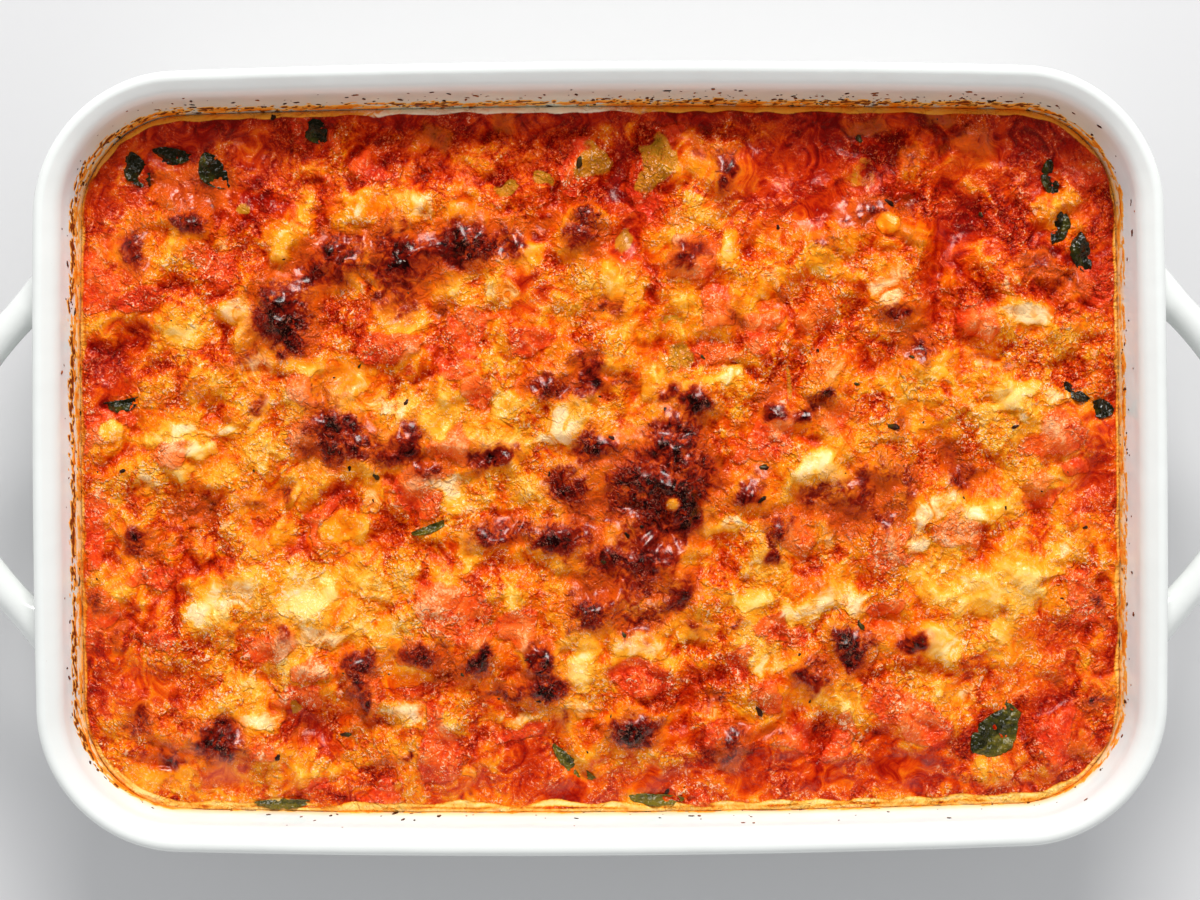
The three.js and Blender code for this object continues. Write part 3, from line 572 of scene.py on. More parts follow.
# Lumps of red tomato that show through
TOMATO = [
    (-141, 49, 6, 5), (-65, 34, 9, 6), (-45, 27, 6, 3, .9), (-37, 20, 4, 6, .9), (-21, 36, 7, 4, .9),
    (-131, 2, 6, 4, 1, 20), (-155, 13, 4, 4), (-145, 13, 3.5, 3, .7), (-157, 4, 2, 3, .9), (-155, -14, 4, 5),
    (-153, -45, 4, 7), (-155, -25, 4, 8), (-133, -55, 5, 4), (-137, -36, 8, 3, .9), (-45, -44, 10, 6),
    (-40, -54, 10, 4, .7), (-50, -90, 6, 10, 1.1), (-25, -84, 7, 3, .9), (-50, -78, 4, 4), (12, -67, 9, 6),
    (52, -53, 5, 4), (60, -55, 5, 3, .9), (43, -63, 4, 4), (50, -73, 4.5, 6, .9), (76, -81, 4, 4, .9),
    (95, -80, 14, 6, 1.2, -35), (86, -26, 3, 4), (86, -46, 5, 3, .9), (86, -33, 3, 3, .9),
    (140, 7, 7, 7, .8), (134, 2, 5, 3, .8), (147, -4, 5, 3, .8), (136, -14, 8, 2, .9, 25), (-104, -89, 5, 4),
    (-88, -64, 5, 4), (-86, -100, 4, 3), (15, 78, 4, 3, .8), (35, 32, 8, 4, .7), (12, 86, 4, 7, .8),
]
# Smooth wet sauce with oil on it
WET = [
    (-125, 100, 15, 4), (-145, 79, 8, 4, .9), (55, 88, 14, 9), (60, 77, 18, 4), (70, 100, 12, 5),
    (130, 98, 18, 5), (-145, -70, 13, 8), (-115, -95, 8, 5, .9), (153, -6, 4, 10), (155, 8, 3, 3),
    (-150, 26, 7, 7, .9), (70, -98, 16, 6), (90, -97, 15, 6), (20, -98, 12, 4), (45, -97, 6, 5),
    (-10, -103, 12, 3, .9), (-23, -95, 8, 7, .9), (133, -60, 12, 12, .5), (137, -74, 6, 5, .9),
    (-22, 52, 8, 7, .8), (6, 86, 3.5, 15, 1, -5), (9, 67, 4, 10, 1, -15), (109, 72, 8, 9),
    (101, 51, 3, 10, .8), (-90, -82, 10, 4, .8, -25), (108, -1, 8, 3, .8, -50), (0, 106, 150, 4, .7),
    (-120, 92, 26, 12, .6), (-147, 72, 9, 16, .5), (60, 84, 26, 15, .55), (130, 92, 24, 13, .6),
    (150, -5, 8, 20, .5), (-150, -62, 8, 16, .5), (60, -98, 50, 6, .55), (-20, -99, 34, 6, .5),
]
# Pasta that shows through, yellow-green
PASTA = [
    (17, 90, 5, 9, 1, -15), (-17, 85, 3, 2.5, .8), (-28, 83, 4, 3, .8), (-2, 91, 5, 5, .8),
    (24, 31, 5, 5, .7), (-107, 78, 2, 2, .9), (-94, -77, 2, 2.5, .9), (57, 22, 1.5, 8, .6),
    (24, 41, 4, 1.5, .8), (8, 66, 3, 4, .7), (80, 86, 6, 4, .5),
]
# Bubbles that set in the cheese: x, y, radius, height, and how white the cap is, a painted highlight on its
# glossy skin
BUBBLES = [(22, -14, 2.4, 1.7, .1), (88, 71, 4, 1.6, 1), (-73, 25, 1.6, 1, .5), (31, 79, 1.8, 1, .3)]
# Where the pieces of leaf lie: x, y, length, width, turn in degrees, bend, how torn the far end is
LEAVES = [
    (-141, 89, 12, 7.5, -60, 1, .3), (-130.5, 93.6, 12, 5.5, -8, 1, .2), (-117.5, 88.5, 13, 8, -55, 1.2, .3),
    (-86, 100.5, 8.5, 7, -60, .6, .5), (-146, 17.6, 11.5, 4, 10, 1.6, .1), (138.5, 84.5, 12, 5, -80, .8, .3),
    (141.3, 69.5, 11, 5.5, 74, 1, .2), (147.8, 61.8, 13, 6.5, -76, 1, .3), (145.6, 19, 9.5, 3.6, -35, 1, .1),
    (153.9, 14.2, 7, 6, -20, .6, .5), (120.5, -84.5, 19, 12, 48, 1.6, .9), (-9, -93.5, 17, 4, -40, 1.4, 0),
    (16, -104.3, 18, 3.6, -3, .8, 0), (-98, -105, 17, 3.2, 1, .6, 0), (-51.8, -20.9, 12.5, 2.6, 20, .6, 0),
]
# Broad paler and darker parts of the top; the first, along the far wall, is painted shade from that wall
TONES_AND_WALL_SHADE = [
    (0, 101, 175, 11, -.15), (0, 72, 190, 34, -.045), (-45, 78, 50, 10, -.1), (85, 80, 24, 14, -.14),
    (-108, 78, 20, 10, -.12), (152, 75, 12, 15, -.1), (137, 58, 24, 13, -.16), (102, 56, 8, 10, -.08),
    (-118, 56, 18, 9, -.05), (-150, 36, 10, 12, -.08), (-76, 36, 13, 10, -.1), (0, 36, 12, 10, -.06),
    (25, -2, 15, 13, -.14), (2, -44, 12, 10, -.14), (0, -24, 13, 10, -.1), (30, -84, 18, 10, -.16),
    (52, -88, 16, 8, -.1), (122, -87, 20, 9, -.2), (-127, -84, 14, 10, -.08), (-40, -66, 24, 8, -.1),
    (75, -24, 10, 10, -.1), (101, -2, 10, 10, -.12), (75, -64, 12, 8, -.08), (-2, 0, 12, 8, -.06),
    (75, 16, 12, 8, -.06), (-140, -2, 28, 12, .14), (-30, -5, 12, 8, .14), (-50, -4, 10, 9, .08),
    (125, -4, 17, 12, .14), (112, 16, 26, 10, .13), (-75, -42, 19, 13, .18), (-100, -62, 17, 11, .12),
    (124, -63, 14, 10, .12), (-75, -84, 15, 8, .08), (-138, -98, 13, 6, .08), (-102, -100, 8, 5, .08),
    (-150, -14, 5, 8, .1), (-150, -32, 5, 7, .07), (142, -70, 8, 8, -.1), (-150, -88, 12, 12, .12),
    (50, -34, 16, 18, .08), (102, -24, 15, 11, .1), (-112, 16, 23, 10, .09), (126, 36, 18, 10, .1),
    (48, 38, 13, 12, .06), (-48, 56, 14, 8, .07), (150, -24, 12, 10, .1), (140, -40, 30, 10, .06),
    (48, 70, 12, 8, .08), (0, -64, 12, 8, .06), (-32, 86, 16, 7, -.2), (-112, 60, 9, 7, .18),
    (-88, -86, 10, 6, -.17), (-120, 26, 14, 8, -.17), (-14, 2, 7, 5, .18), (71, 60, 8, 6, .18),
    (-112, -14, 10, 6, -.15), (-116, -50, 12, 7, .16), (-139, 55, 8, 9, -.13), (145, 50, 8, 8, -.13),
    (100, 98, 16, 6, -.15), (145, -69, 8, 9, -.16), (128, 40, 10, 7, .14), (46, 24, 8, 6, .13),
    (8, -73, 9, 6, -.12), (-14, -37, 7, 5, .18), (-28, 13, 7, 5, -.13), (-41, 49, 7, 6, .13),
]


def scatter(i, j, seed):
    """A steady random number from 0 to 1 for each whole-numbered place."""
    n = (i * 374761393 + j * 668265263 + seed * 1442695041) & 0xFFFFFFFF
    n = ((n ^ (n >> 13)) * 1274126177) & 0xFFFFFFFF
    return ((n ^ (n >> 16)) & 0xFFFF) / 65535.0


def waves(x, y, size, seed):
    """Smooth noise from about -1 to 1, in swells of about a size."""
    u, v = x / size, y / size
    i, j = np.floor(u).astype(np.int64), np.floor(v).astype(np.int64)
    fu, fv = u - i, v - j
    su, sv = fu ** 3 * (fu * (fu * 6 - 15) + 10), fv ** 3 * (fv * (fv * 6 - 15) + 10)
    total = 0
    for di, dj in ((0, 0), (1, 0), (0, 1), (1, 1)):
        a = 2 * math.pi * scatter(i + di, j + dj, seed)
        pull = np.cos(a) * (fu - di) + np.sin(a) * (fv - dj)
        total = total + pull * (su if di else 1 - su) * (sv if dj else 1 - sv)
    return 1.6 * total


def layered_waves(x, y, size, seed, layers=3, gain=0.5):
    """Waves of a size, with weaker ones of half the size on them, and so on."""
    return sum(gain ** k * waves(x, y, size / 2 ** k, seed + k) for k in range(layers))


def lumps(x, y, size, seed):
    """Rounded lumps, 1 at each middle and down to 0 in the creases, and a random number for each."""
    u, v = x / size, y / size
    i, j = np.floor(u).astype(np.int64), np.floor(v).astype(np.int64)
    first = np.full(np.shape(x), 9.0)
    second = np.full(np.shape(x), 9.0)
    tag = np.zeros(np.shape(x))
    for di in (-1, 0, 1):
        for dj in (-1, 0, 1):
            ci, cj = i + di, j + dj
            px = ci + 0.5 + 0.9 * (scatter(ci, cj, seed) - 0.5)
            py = cj + 0.5 + 0.9 * (scatter(ci, cj, seed + 50) - 0.5)
            d = np.hypot(u - px, v - py)
            tag = np.where(d < first, scatter(ci, cj, seed + 100), tag)
            second = np.where(d < first, first, np.minimum(second, d))
            first = np.minimum(first, d)
    return smooth((second - first) * 1.3 + 0.1), tag


def in_patch(x, y, middle_x, middle_y, half_long, half_short, strength=1, turn=0):
    """Coordinates in a patch, 1 at its edge along either half size, and the patch's strength."""
    c, s = math.cos(math.radians(turn)), math.sin(math.radians(turn))
    along = ((x - middle_x) * c + (y - middle_y) * s) / half_long
    across = ((y - middle_y) * c - (x - middle_x) * s) / half_short
    return along, across, strength


def patches(x, y, places, edge=0.35, halo=0):
    """The strength of the patch that each point lies in, falling away over its edge and halo."""
    clear = np.ones(np.shape(x))
    for place in places:
        u, v, strength = in_patch(x, y, *place)
        reach = np.hypot(u, v)
        inside = (1 - halo) * smooth((1 + edge - reach) / (2 * edge)) + halo * np.exp(-0.8 * reach ** 2)
        clear = clear * (1 - np.clip(strength * inside, 0, 0.98))
    return 1 - clear


def shore_distance(x, y):
    """The distance in from the wall at the sauce's level."""
    along = 1 - (x / HALF_LENGTH) ** 2
    across = 1 - (y / HALF_WIDTH) ** 2
    dx = np.abs(x / (1 + SHORT_SIDE_BOW / HALF_LENGTH * across)) - CORNER_X
    dy = np.abs(y / (1 + LONG_SIDE_BOW / HALF_WIDTH * along)) - CORNER_Y
    outside = np.hypot(np.maximum(dx, 0), np.maximum(dy, 0)) + np.minimum(np.maximum(dx, dy), 0)
    return RIM_CORNER - wall_inset(SAUCE_LEVEL) - outside


def swell_lift(x, y):
    """The mounds and hollows, the same as in the solid."""
    lift = FOOD_CROWN * (1 - (x / HALF_LENGTH) ** 2) * (1 - (y / HALF_WIDTH) ** 2)
    for place in [*BROWNED_PEAKS, *TOMATO_LUMPS, *CHEESE_SWELLS, *HOLLOWS]:
        u, v, height = in_patch(x, y, *place)
        q = u * u + v * v
        lift = lift + np.where(q < 4, RELIEF * height * np.exp(-1.6 * np.minimum(q, 4)), 0)
    return lift + RIPPLE * (np.sin(x * 0.41 + 1.3) * np.sin(y * 0.37) + np.sin(x * 0.23 - y * 0.31))


def bed_height(x, y):
    """The top's height before its fine lumps: level sauce near the wall, mounds and hollows within."""
    return SAUCE_LEVEL + swell_lift(x, y) * smooth((shore_distance(x, y) + 1) / SHORE_WIDTH)


def read_top(x, y):
    """The top's height at each place, and what it is like there, in fields of numbers."""
    wx = x + 2.6 * waves(x, y, 12, 11) + 1.3 * waves(x, y, 5, 12) + 0.7 * waves(x, y, 2.4, 16)
    wy = y + 2.6 * waves(x, y, 12, 13) + 1.3 * waves(x, y, 5, 14) + 0.7 * waves(x, y, 2.4, 17)
    bx, by = wx + 1.6 * waves(x, y, 4.2, 19), wy + 1.6 * waves(x, y, 4.2, 20)
    burnt = patches(bx, by, BURNT, 0.9, 0.3)
    scorched = [(b[0], b[1], b[2] + SCORCH_REACH, b[3] + SCORCH_REACH, 0.5 * b[4], *b[5:]) for b in BURNT]
    scorched = patches(bx, by, scorched, 0.7, 0.2)
    burnt = 1 - (1 - burnt) * (1 - SCORCH_SHARE * scorched)
    yellow = patches(wx, wy, YELLOW, 0.4, 0.1)
    cream = patches(wx, wy, CREAM, 0.4, 0.1)
    tomato = patches(wx, wy, TOMATO, 0.35, 0.1)
    wet = patches(wx, wy, WET, 0.4, 0.1)
    pasta = patches(wx, wy, PASTA, 0.4)
    blown = 0
    for mx, my, radius, tall, cap_highlight in BUBBLES:
        dome = np.sqrt(np.maximum(1 - ((x - mx) ** 2 + (y - my) ** 2) / radius ** 2, 0))
        blown = blown + tall * dome
        burnt = burnt * (1 - 0.75 * smooth(dome))
        yellow = np.maximum(yellow, smooth(dome) * 0.6)
        # Painted highlight: the cap is whitened as a glint on the bubble's glossy skin
        cream = np.maximum(cream, cap_highlight * smooth(dome))
    shore = shore_distance(x, y)
    # Cheese lies in torn patches of its own besides the named ones
    torn = layered_waves(wx, wy, 19, 21, 3, 0.6)
    melted = np.maximum(yellow, smooth((torn + 0.05) / 0.9) * 0.4 * (1 - 0.8 * tomato) * (1 - wet))
    tone = 0
    for place in TONES_AND_WALL_SHADE:
        u, v, strength = in_patch(x, y, *place)
        tone = tone + strength * np.exp(-0.7 * (u * u + v * v) ** 1.5)
    # Every part of the top is mostly tomato, mostly cheese, or sauce with both in it
    part, kind = lumps(wx + 3 * waves(x, y, 11, 63), wy + 3 * waves(x, y, 11, 64), 16, 33)
    # Where the folds lie
    fx = wx + 4 * waves(x, y, 23, 81) + 2.5 * waves(x, y, 9, 82)
    fy = wy + 4 * waves(x, y, 23, 83) + 2.5 * waves(x, y, 9, 84)
    free = (1 - wet) * (1 - 0.7 * pasta)
    red_part = smooth((0.27 - kind) * 8) * smooth(part * 1.6) * 0.85 * (1 - yellow) * (1 - cream) * free
    tomato = np.maximum(tomato, red_part)
    cheese_part = smooth((kind - 0.6) * 8) * smooth(part * 1.6) * 0.6 * (1 - tomato) * free
    melted = np.maximum(melted, cheese_part)
    cream = np.maximum(cream, smooth((waves(fx, fy, 6, 65) - 0.3) * 3) * 0.8 * melted * free)
    roll = layered_waves(wx, wy, 15, 51, 4, 0.6)
    golden = layered_waves(wx, wy, 20, 25, 4, 0.6) * (1 - 0.6 * wet)
    rough = np.clip(1 - 0.85 * wet - 0.4 * melted - 0.2 * cream - 0.2 * tomato + 0.2 * burnt, 0.1, 1.2)
    folds = sum(tall * (np.abs(waves(fx, fy, size, seed)) - 0.28) for size, seed, tall in FOLDS)
    detail = 1.2 * roll * (1 - 0.6 * wet) + rough * folds
    rounded = 0.5 * melted + 0.3 * cream + (1.5 * tomato + 1.2 * melted) * part + 0.5 * burnt
    detail = detail + rounded * (1 - wet)
    # The top lies flat and low under each leaf, and rolls down to the wall that it has shrunk from
    beds = [(l[0], l[1], l[2] / 2 + 0.3, l[3] / 2 + 0.3, 1, l[4]) for l in LEAVES]
    uncovered = 1 - patches(x, y, beds, 0.45)
    fade = smooth((shore + 1) / SHORE_WIDTH)
    height = bed_height(x, y) + detail * (0.25 + 0.75 * fade) * uncovered - 0.8 * (1 - uncovered)
    height = height + blown
    near = np.clip((shore - EDGE_RECESS) / SHOULDER_WIDTH, 0, 1)
    drop = SHOULDER_DROP + (FAR_SHOULDER_DROP - SHOULDER_DROP) * smooth((y - 70) / 25)
    drop = drop + (NEAR_SHOULDER_DROP - drop) * smooth((-y - 92) / 10)
    height = height - drop * (1 - np.sqrt(1 - (1 - near) ** 2))
    # Fat has set along the wall, most of all on the near side
    streak = 0.7 * waves(x / 9, shore / 1.1, 1, 71) + 0.6 * waves(y / 9, shore / 1.1, 1, 72)
    near_side = smooth((-y - 84) / 12)
    left_side = smooth((-x - 146) / 10) * (1 - smooth((y - 92) / 10))
    right_side = smooth((x - 150) / 8) * (1 - smooth((y - 80) / 15))
    far_side = smooth((y - 86) / 10)
    width = LEFT_FAT_WIDTH * left_side * (1 - near_side) + RIGHT_FAT_WIDTH * right_side * (1 - near_side)
    width = width + NEAR_FAT_WIDTH * near_side
    width = width * (1 + 0.5 * waves(x + y, 0 * x, 14, 73))
    width = width + FAR_FAT_WIDTH * far_side * (1 + 0.35 * waves(x, 0 * x, 9, 74))
    fat = smooth((width - shore + EDGE_RECESS) / 1.4) * (0.75 + 0.6 * streak)
    # How high a place stands over its neighbours; the colour takes painted crease shade from it
    rise = detail - 0.8 * roll + 0.25 * (swell_lift(x, y) - 2)
    return height, {
        "melt": [melted, cream, pasta],
        "sauce": [tomato, wet, smooth(1 - shore / 7)],
        "rind": [fat, golden * 0.3 + 0.5, far_side],
        "toast": [burnt, rise * 0.15 + 0.5, tone + 0.5],
    }


# The grid: rows across the dish between its side walls, closer together round the corners
row_turns = np.concatenate([
    np.linspace(90, 0, FOOD_CORNER_ROWS + 1)[:-1], np.zeros(FOOD_ROWS + 1),
    np.linspace(0, 90, FOOD_CORNER_ROWS + 1)[1:],
])
row_spots = np.concatenate([
    -np.ones(FOOD_CORNER_ROWS), np.linspace(-1, 1, FOOD_ROWS + 1), np.ones(FOOD_CORNER_ROWS),
])


def grid_place(row, column, inset):
    """Where a grid corner lies on the outline that stands in by an inset."""
    a = np.radians(row_turns[row])
    radius = RIM_CORNER - inset
    y = row_spots[row] * CORNER_Y + np.sign(row_spots[row]) * radius * np.sin(a)
    half_x = CORNER_X + radius * np.cos(a)
    return bow((2 * column / FOOD_COLUMNS - 1) * half_x, y)


rows, columns = np.meshgrid(np.arange(len(row_turns)), np.arange(FOOD_COLUMNS + 1), indexing="ij")
top_inset = wall_inset(SAUCE_LEVEL) + EDGE_RECESS
grid_x, grid_y = grid_place(rows.ravel(), columns.ravel(), top_inset)
top_height, top_fields = read_top(grid_x, grid_y)
top_points = np.column_stack([grid_x, grid_y, top_height])
index = rows * (FOOD_COLUMNS + 1) + columns
quads = np.column_stack([
    index[:-1, :-1].ravel(), index[:-1, 1:].ravel(), index[1:, 1:].ravel(), index[1:, :-1].ravel(),
])
edge = np.concatenate([
    index[0, :-1], index[:-1, -1], index[-1, :0:-1], index[:0:-1, 0],
])
edge_rows, edge_columns = edge // (FOOD_COLUMNS + 1), edge % (FOOD_COLUMNS + 1)
side_levels = [
    (wall_inset(FOOD_SIDE_LEVEL) + FOOD_WALL_GAP, FOOD_SIDE_LEVEL),
    (wall_inset(fillet_z) + FOOD_WALL_GAP, fillet_z),
    (fillet_inset - 3, FLOOR_TOP + FOOD_WALL_GAP),
]
side_points = []
for inset, z in side_levels:
    x, y = grid_place(edge_rows, edge_columns, inset)
    side_points.append(np.column_stack([x, y, np.full(len(x), z)]))
points = np.vstack([top_points, *side_points, [[0, 0, FLOOR_TOP + FOOD_WALL_GAP]]])
side_quads = []
above = edge
for level in range(len(side_levels)):
    below = len(top_points) + level * len(edge) + np.arange(len(edge))
    side_quads.append(np.column_stack([above, below, np.roll(below, -1), np.roll(above, -1)]))
    above = below
floor_fan = np.column_stack([np.full(len(edge), len(points) - 1), np.roll(above, -1), above])
lasagna = make_piece("baked_lasagna", points, np.vstack([quads, *side_quads]), floor_fan)


def spread(field):
    """A field of the top's points, carried on to the points of the sides with the value there."""
    return np.concatenate([field, *[field[edge]] * len(side_levels), [field.mean()]])


for name, columns in top_fields.items():
    add_attribute(lasagna, name, [spread(column) for column in columns])

# From the darkest sauce in the furrows, where painted shade also darkens it, to the palest cheese
SAUCE_TO_CHEESE = [
    (0.00, (0.16, 0.0008, 0.0001, 1)),
    (0.16, (0.34, 0.0055, 0.0001, 1)),
    (0.32, (0.60, 0.035, 0.0002, 1)),
    (0.47, (0.78, 0.106, 0.0010, 1)),
    (0.60, (0.86, 0.205, 0.0030, 1)),
    (0.73, (0.92, 0.300, 0.0090, 1)),
    (0.86, (0.98, 0.420, 0.0330, 1)),
    (1.00, (1.00, 0.580, 0.1500, 1)),
]
TOMATO_SHADES = [
    (0.00, (0.34, 0.006, 0.0010, 1)),
    (0.30, (0.66, 0.026, 0.0050, 1)),
    (0.55, (0.81, 0.060, 0.0070, 1)),
    (0.80, (0.91, 0.138, 0.0270, 1)),
    (1.00, (0.98, 0.380, 0.1700, 1)),
]
PASTA_GREEN = (0.52, 0.25, 0.012, 1)
# The skin of the browned parts, from golden to charred
BROWNING = [
    (0.10, (0.80, 0.165, 0.0020, 1)),
    (0.25, (0.60, 0.078, 0.0010, 1)),
    (0.40, (0.41, 0.034, 0.0005, 1)),
    (0.55, (0.26, 0.010, 0.0001, 1)),
    (0.71, (0.12, 0.002, 0.0001, 1)),
    (0.90, (0.010, 0.0005, 0.0005, 1)),
]
FAT_TONES = [
    (0.30, (0.50, 0.10, 0.004, 1)),
    (0.50, (0.92, 0.33, 0.02, 1)),
    (0.75, (1.0, 0.58, 0.12, 1)),
    (0.95, (1.0, 0.66, 0.24, 1)),
]
FAT_WHITE = (0.95, 0.82, 0.62, 1)
FAT_AMBER = (0.88, 0.34, 0.03, 1)
# Painted shade in outlines and creases, and the colour of the real pores
SHADE_AND_PORE_RED = (0.42, 0.022, 0.0006, 1)
CURD_WHITE = (1.0, 0.68, 0.36, 1)
# Painted glints: pale flecks of curd on the crests, standing in for highlights, by what they lie on
GLINT_FLECK_ON_SAUCE = (0.80, 0.13, 0.03, 1)
GLINT_FLECK_ON_CHEESE = (1.0, 0.70, 0.44, 1)
GLINT_FLECK_ON_TOAST = (0.45, 0.12, 0.07, 1)
GLOSS_TINT = (1.0, 0.82, 0.66, 1)
# In metres
FAR_WHITE_LENGTH = 0.076
FAR_WHITE_FADE = 0.016
TOP_BUMP_DEPTH = 0.0016

baked = Finish("baked_top")
spot = baked.place()
melted, cream, pasta = baked.fields("melt")
tomato, wet, shore = baked.fields("sauce")
burnt, rise, tone = baked.fields("toast")
fat, golden, far_side = baked.fields("rind")
golden = golden - 0.5
mottle = baked.noise(spot, 150, 4, 0.58, 1.4, "2D")
curd = baked.noise(spot, 450, 3, 0.55, 0.7, "2D")
fine = baked.noise(spot, 1500, 2, 0.6, 0, "2D")
grains = baked.add("ShaderNodeTexVoronoi", {"voronoi_dimensions": "2D", "feature": "SMOOTH_F1"},
                   {"Vector": spot, "Scale": 850, "Smoothness": 0.4}, "Distance")
film = baked.noise(spot, 420, 1, 0.4, 1.2, "2D")
ripples = baked.noise(spot, 950, 1, 0.5, 1.2, "2D")
# Painted shade: darker in low creases, paler on high tops, partly real sauce and cheese; tones add wall shade
lift = (rise - 0.5) * 0.85 + (tone - 0.5) * 1.1
patchy = baked.noise(spot, 60, 3, 0.5, 0.8, "2D").above(0.4, 0.6)
calm = (1.15 - wet * 0.75 - melted * 0.8 - cream * 0.2 - burnt * 0.2).between(0.2, 1.2)
calm = calm * (0.35 + patchy * 0.65)
grain = (mottle - 0.5) * (0.95 - melted * 0.3)
grain = grain + ((curd - 0.5) * 0.5 + (0.5 - grains) * 0.2 + (fine - 0.5) * 0.45) * calm
value = 0.5 + lift + grain
ragged = (mottle - 0.5) * 0.9 + (curd - 0.5) * 0.8
sheet = (melted + cream + ragged * 0.6).above(0.34, 0.74)
skin = (tomato + ragged * 0.5).above(0.32, 0.66)
warmth = value * 0.92 - 0.03 + melted * 0.17 + cream * 0.12 + golden * 0.46
warmth = warmth + sheet * 0.05 - wet * 0.06 - shore * 0.08
colour = baked.ramp(warmth, SAUCE_TO_CHEESE)
red = baked.ramp(value - 0.04, TOMATO_SHADES)
colour = baked.mix((tomato + ragged * 0.6).above(0.25, 0.75) * 0.85, colour, red)
colour = baked.mix((pasta + ragged * 0.5).above(0.35, 0.7) * 0.7, colour, PASTA_GREEN)
# Painted shade: dark outlines round cheese sheets and tomato skins and thin crease lines; pores are real
rim = (sheet * (1 - sheet) + skin * (1 - skin)) * 0.5
painted_crease_shade = 1 - ((curd - 0.46).absolute() * 30).between(0, 1)
pores = fine.above(0.62, 0.7) * grains.above(0.3, 0.5)
shade_lines_and_pores = (rim + painted_crease_shade * calm * 0.3 + pores * calm * 0.4).between(0, 1)
colour = baked.mix(shade_lines_and_pores, colour, SHADE_AND_PORE_RED)
white = (cream + (mottle - 0.5) * 1.8 + lift * 1.5).above(0.85, 1.6)
colour = baked.mix(white * 0.8, colour, CURD_WHITE)
toast = burnt * (0.76 + lift * 0.6 + grain * 0.9 + (curd - 0.5) * 0.7)
colour = baked.mix(toast.above(0.05, 0.6), colour, baked.ramp(toast.above(0, 1.12), BROWNING))
# Painted highlight: pale flecks on the ripples' crests stand in for glints, partly real curd
flecks = (ripples - 0.5 + (film - 0.5) * 0.5 + (fine - 0.5) * 0.5).above(0.13, 0.19)
flecks = flecks * (0.35 + mottle.above(0.4, 0.6) * 0.65)
glint_fleck_colour = baked.mix(value.above(0.3, 0.62), GLINT_FLECK_ON_SAUCE, GLINT_FLECK_ON_CHEESE)
glint_fleck_colour = baked.mix(toast.above(0.1, 0.6), glint_fleck_colour, GLINT_FLECK_ON_TOAST)
glint_fleck_share = (0.28 + patchy * 0.45 - wet * 0.35 - burnt * 0.25).between(0, 1)
colour = baked.mix(flecks * glint_fleck_share, colour, glint_fleck_colour)
fat_colour = baked.ramp(fat + (curd - 0.5) * 0.7, FAT_TONES)
# The fat on the far side is white for 76 mm left of the middle, and amber elsewhere
along_far_wall = baked.parts(spot)[0] + (curd - 0.5) * 0.03
far_white = (along_far_wall + FAR_WHITE_LENGTH).above(0, FAR_WHITE_FADE)
far_white = far_white * (1 - along_far_wall.above(0, FAR_WHITE_FADE))
far_colour = baked.mix(far_white, FAT_AMBER, FAT_WHITE)
fat_colour = baked.mix(far_side, fat_colour, far_colour)
colour = baked.mix((fat + (curd - 0.5) * 0.3).above(0.2, 0.5), colour, fat_colour)
height = (film * 0.9 + ripples * 0.34) * calm
height = height + sheet * 0.25 + skin * 0.25
material = baked.surface({
    "Base Color": colour,
    "Roughness": 0.1 + calm * 0.04,
    "IOR": 1.45,
    "Specular IOR Level": 0.3,
    "Specular Tint": GLOSS_TINT,
    "Coat Weight": (burnt.above(0.25, 0.8) * 0.5 + wet * 0.25).between(0, 1),
    "Coat Roughness": 0.2,
    "Coat IOR": 1.5,
}, [(height, TOP_BUMP_DEPTH)])
lasagna.data.materials.append(material)
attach(lasagna, "root")
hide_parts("lasagna")


# The basil leaves
# Fifteen pieces of torn basil, cooked dark in the oven and half sunk in the sauce. Each is a thin
# crumpled blade with a midrib, in the place and on the curve of its solid.
LEAF_LONG_STEPS = 56
LEAF_WIDE_STEPS = 20
LEAF_THICKNESS = 0.45
LEAF_EDGE = 0.4
# How green each piece still is, from 0, black, to 1, olive
LEAF_GREEN = [.05, 0, .05, 0, .1, 0, 0, 0, 0, 0, .32, .5, .65, .55, .4]
BASIL_BLACK = (0.010, 0.009, 0.003, 1)
BASIL_GREEN = (0.045, 0.044, 0.006, 1)
BASIL_OLIVE = (0.170, 0.125, 0.010, 1)


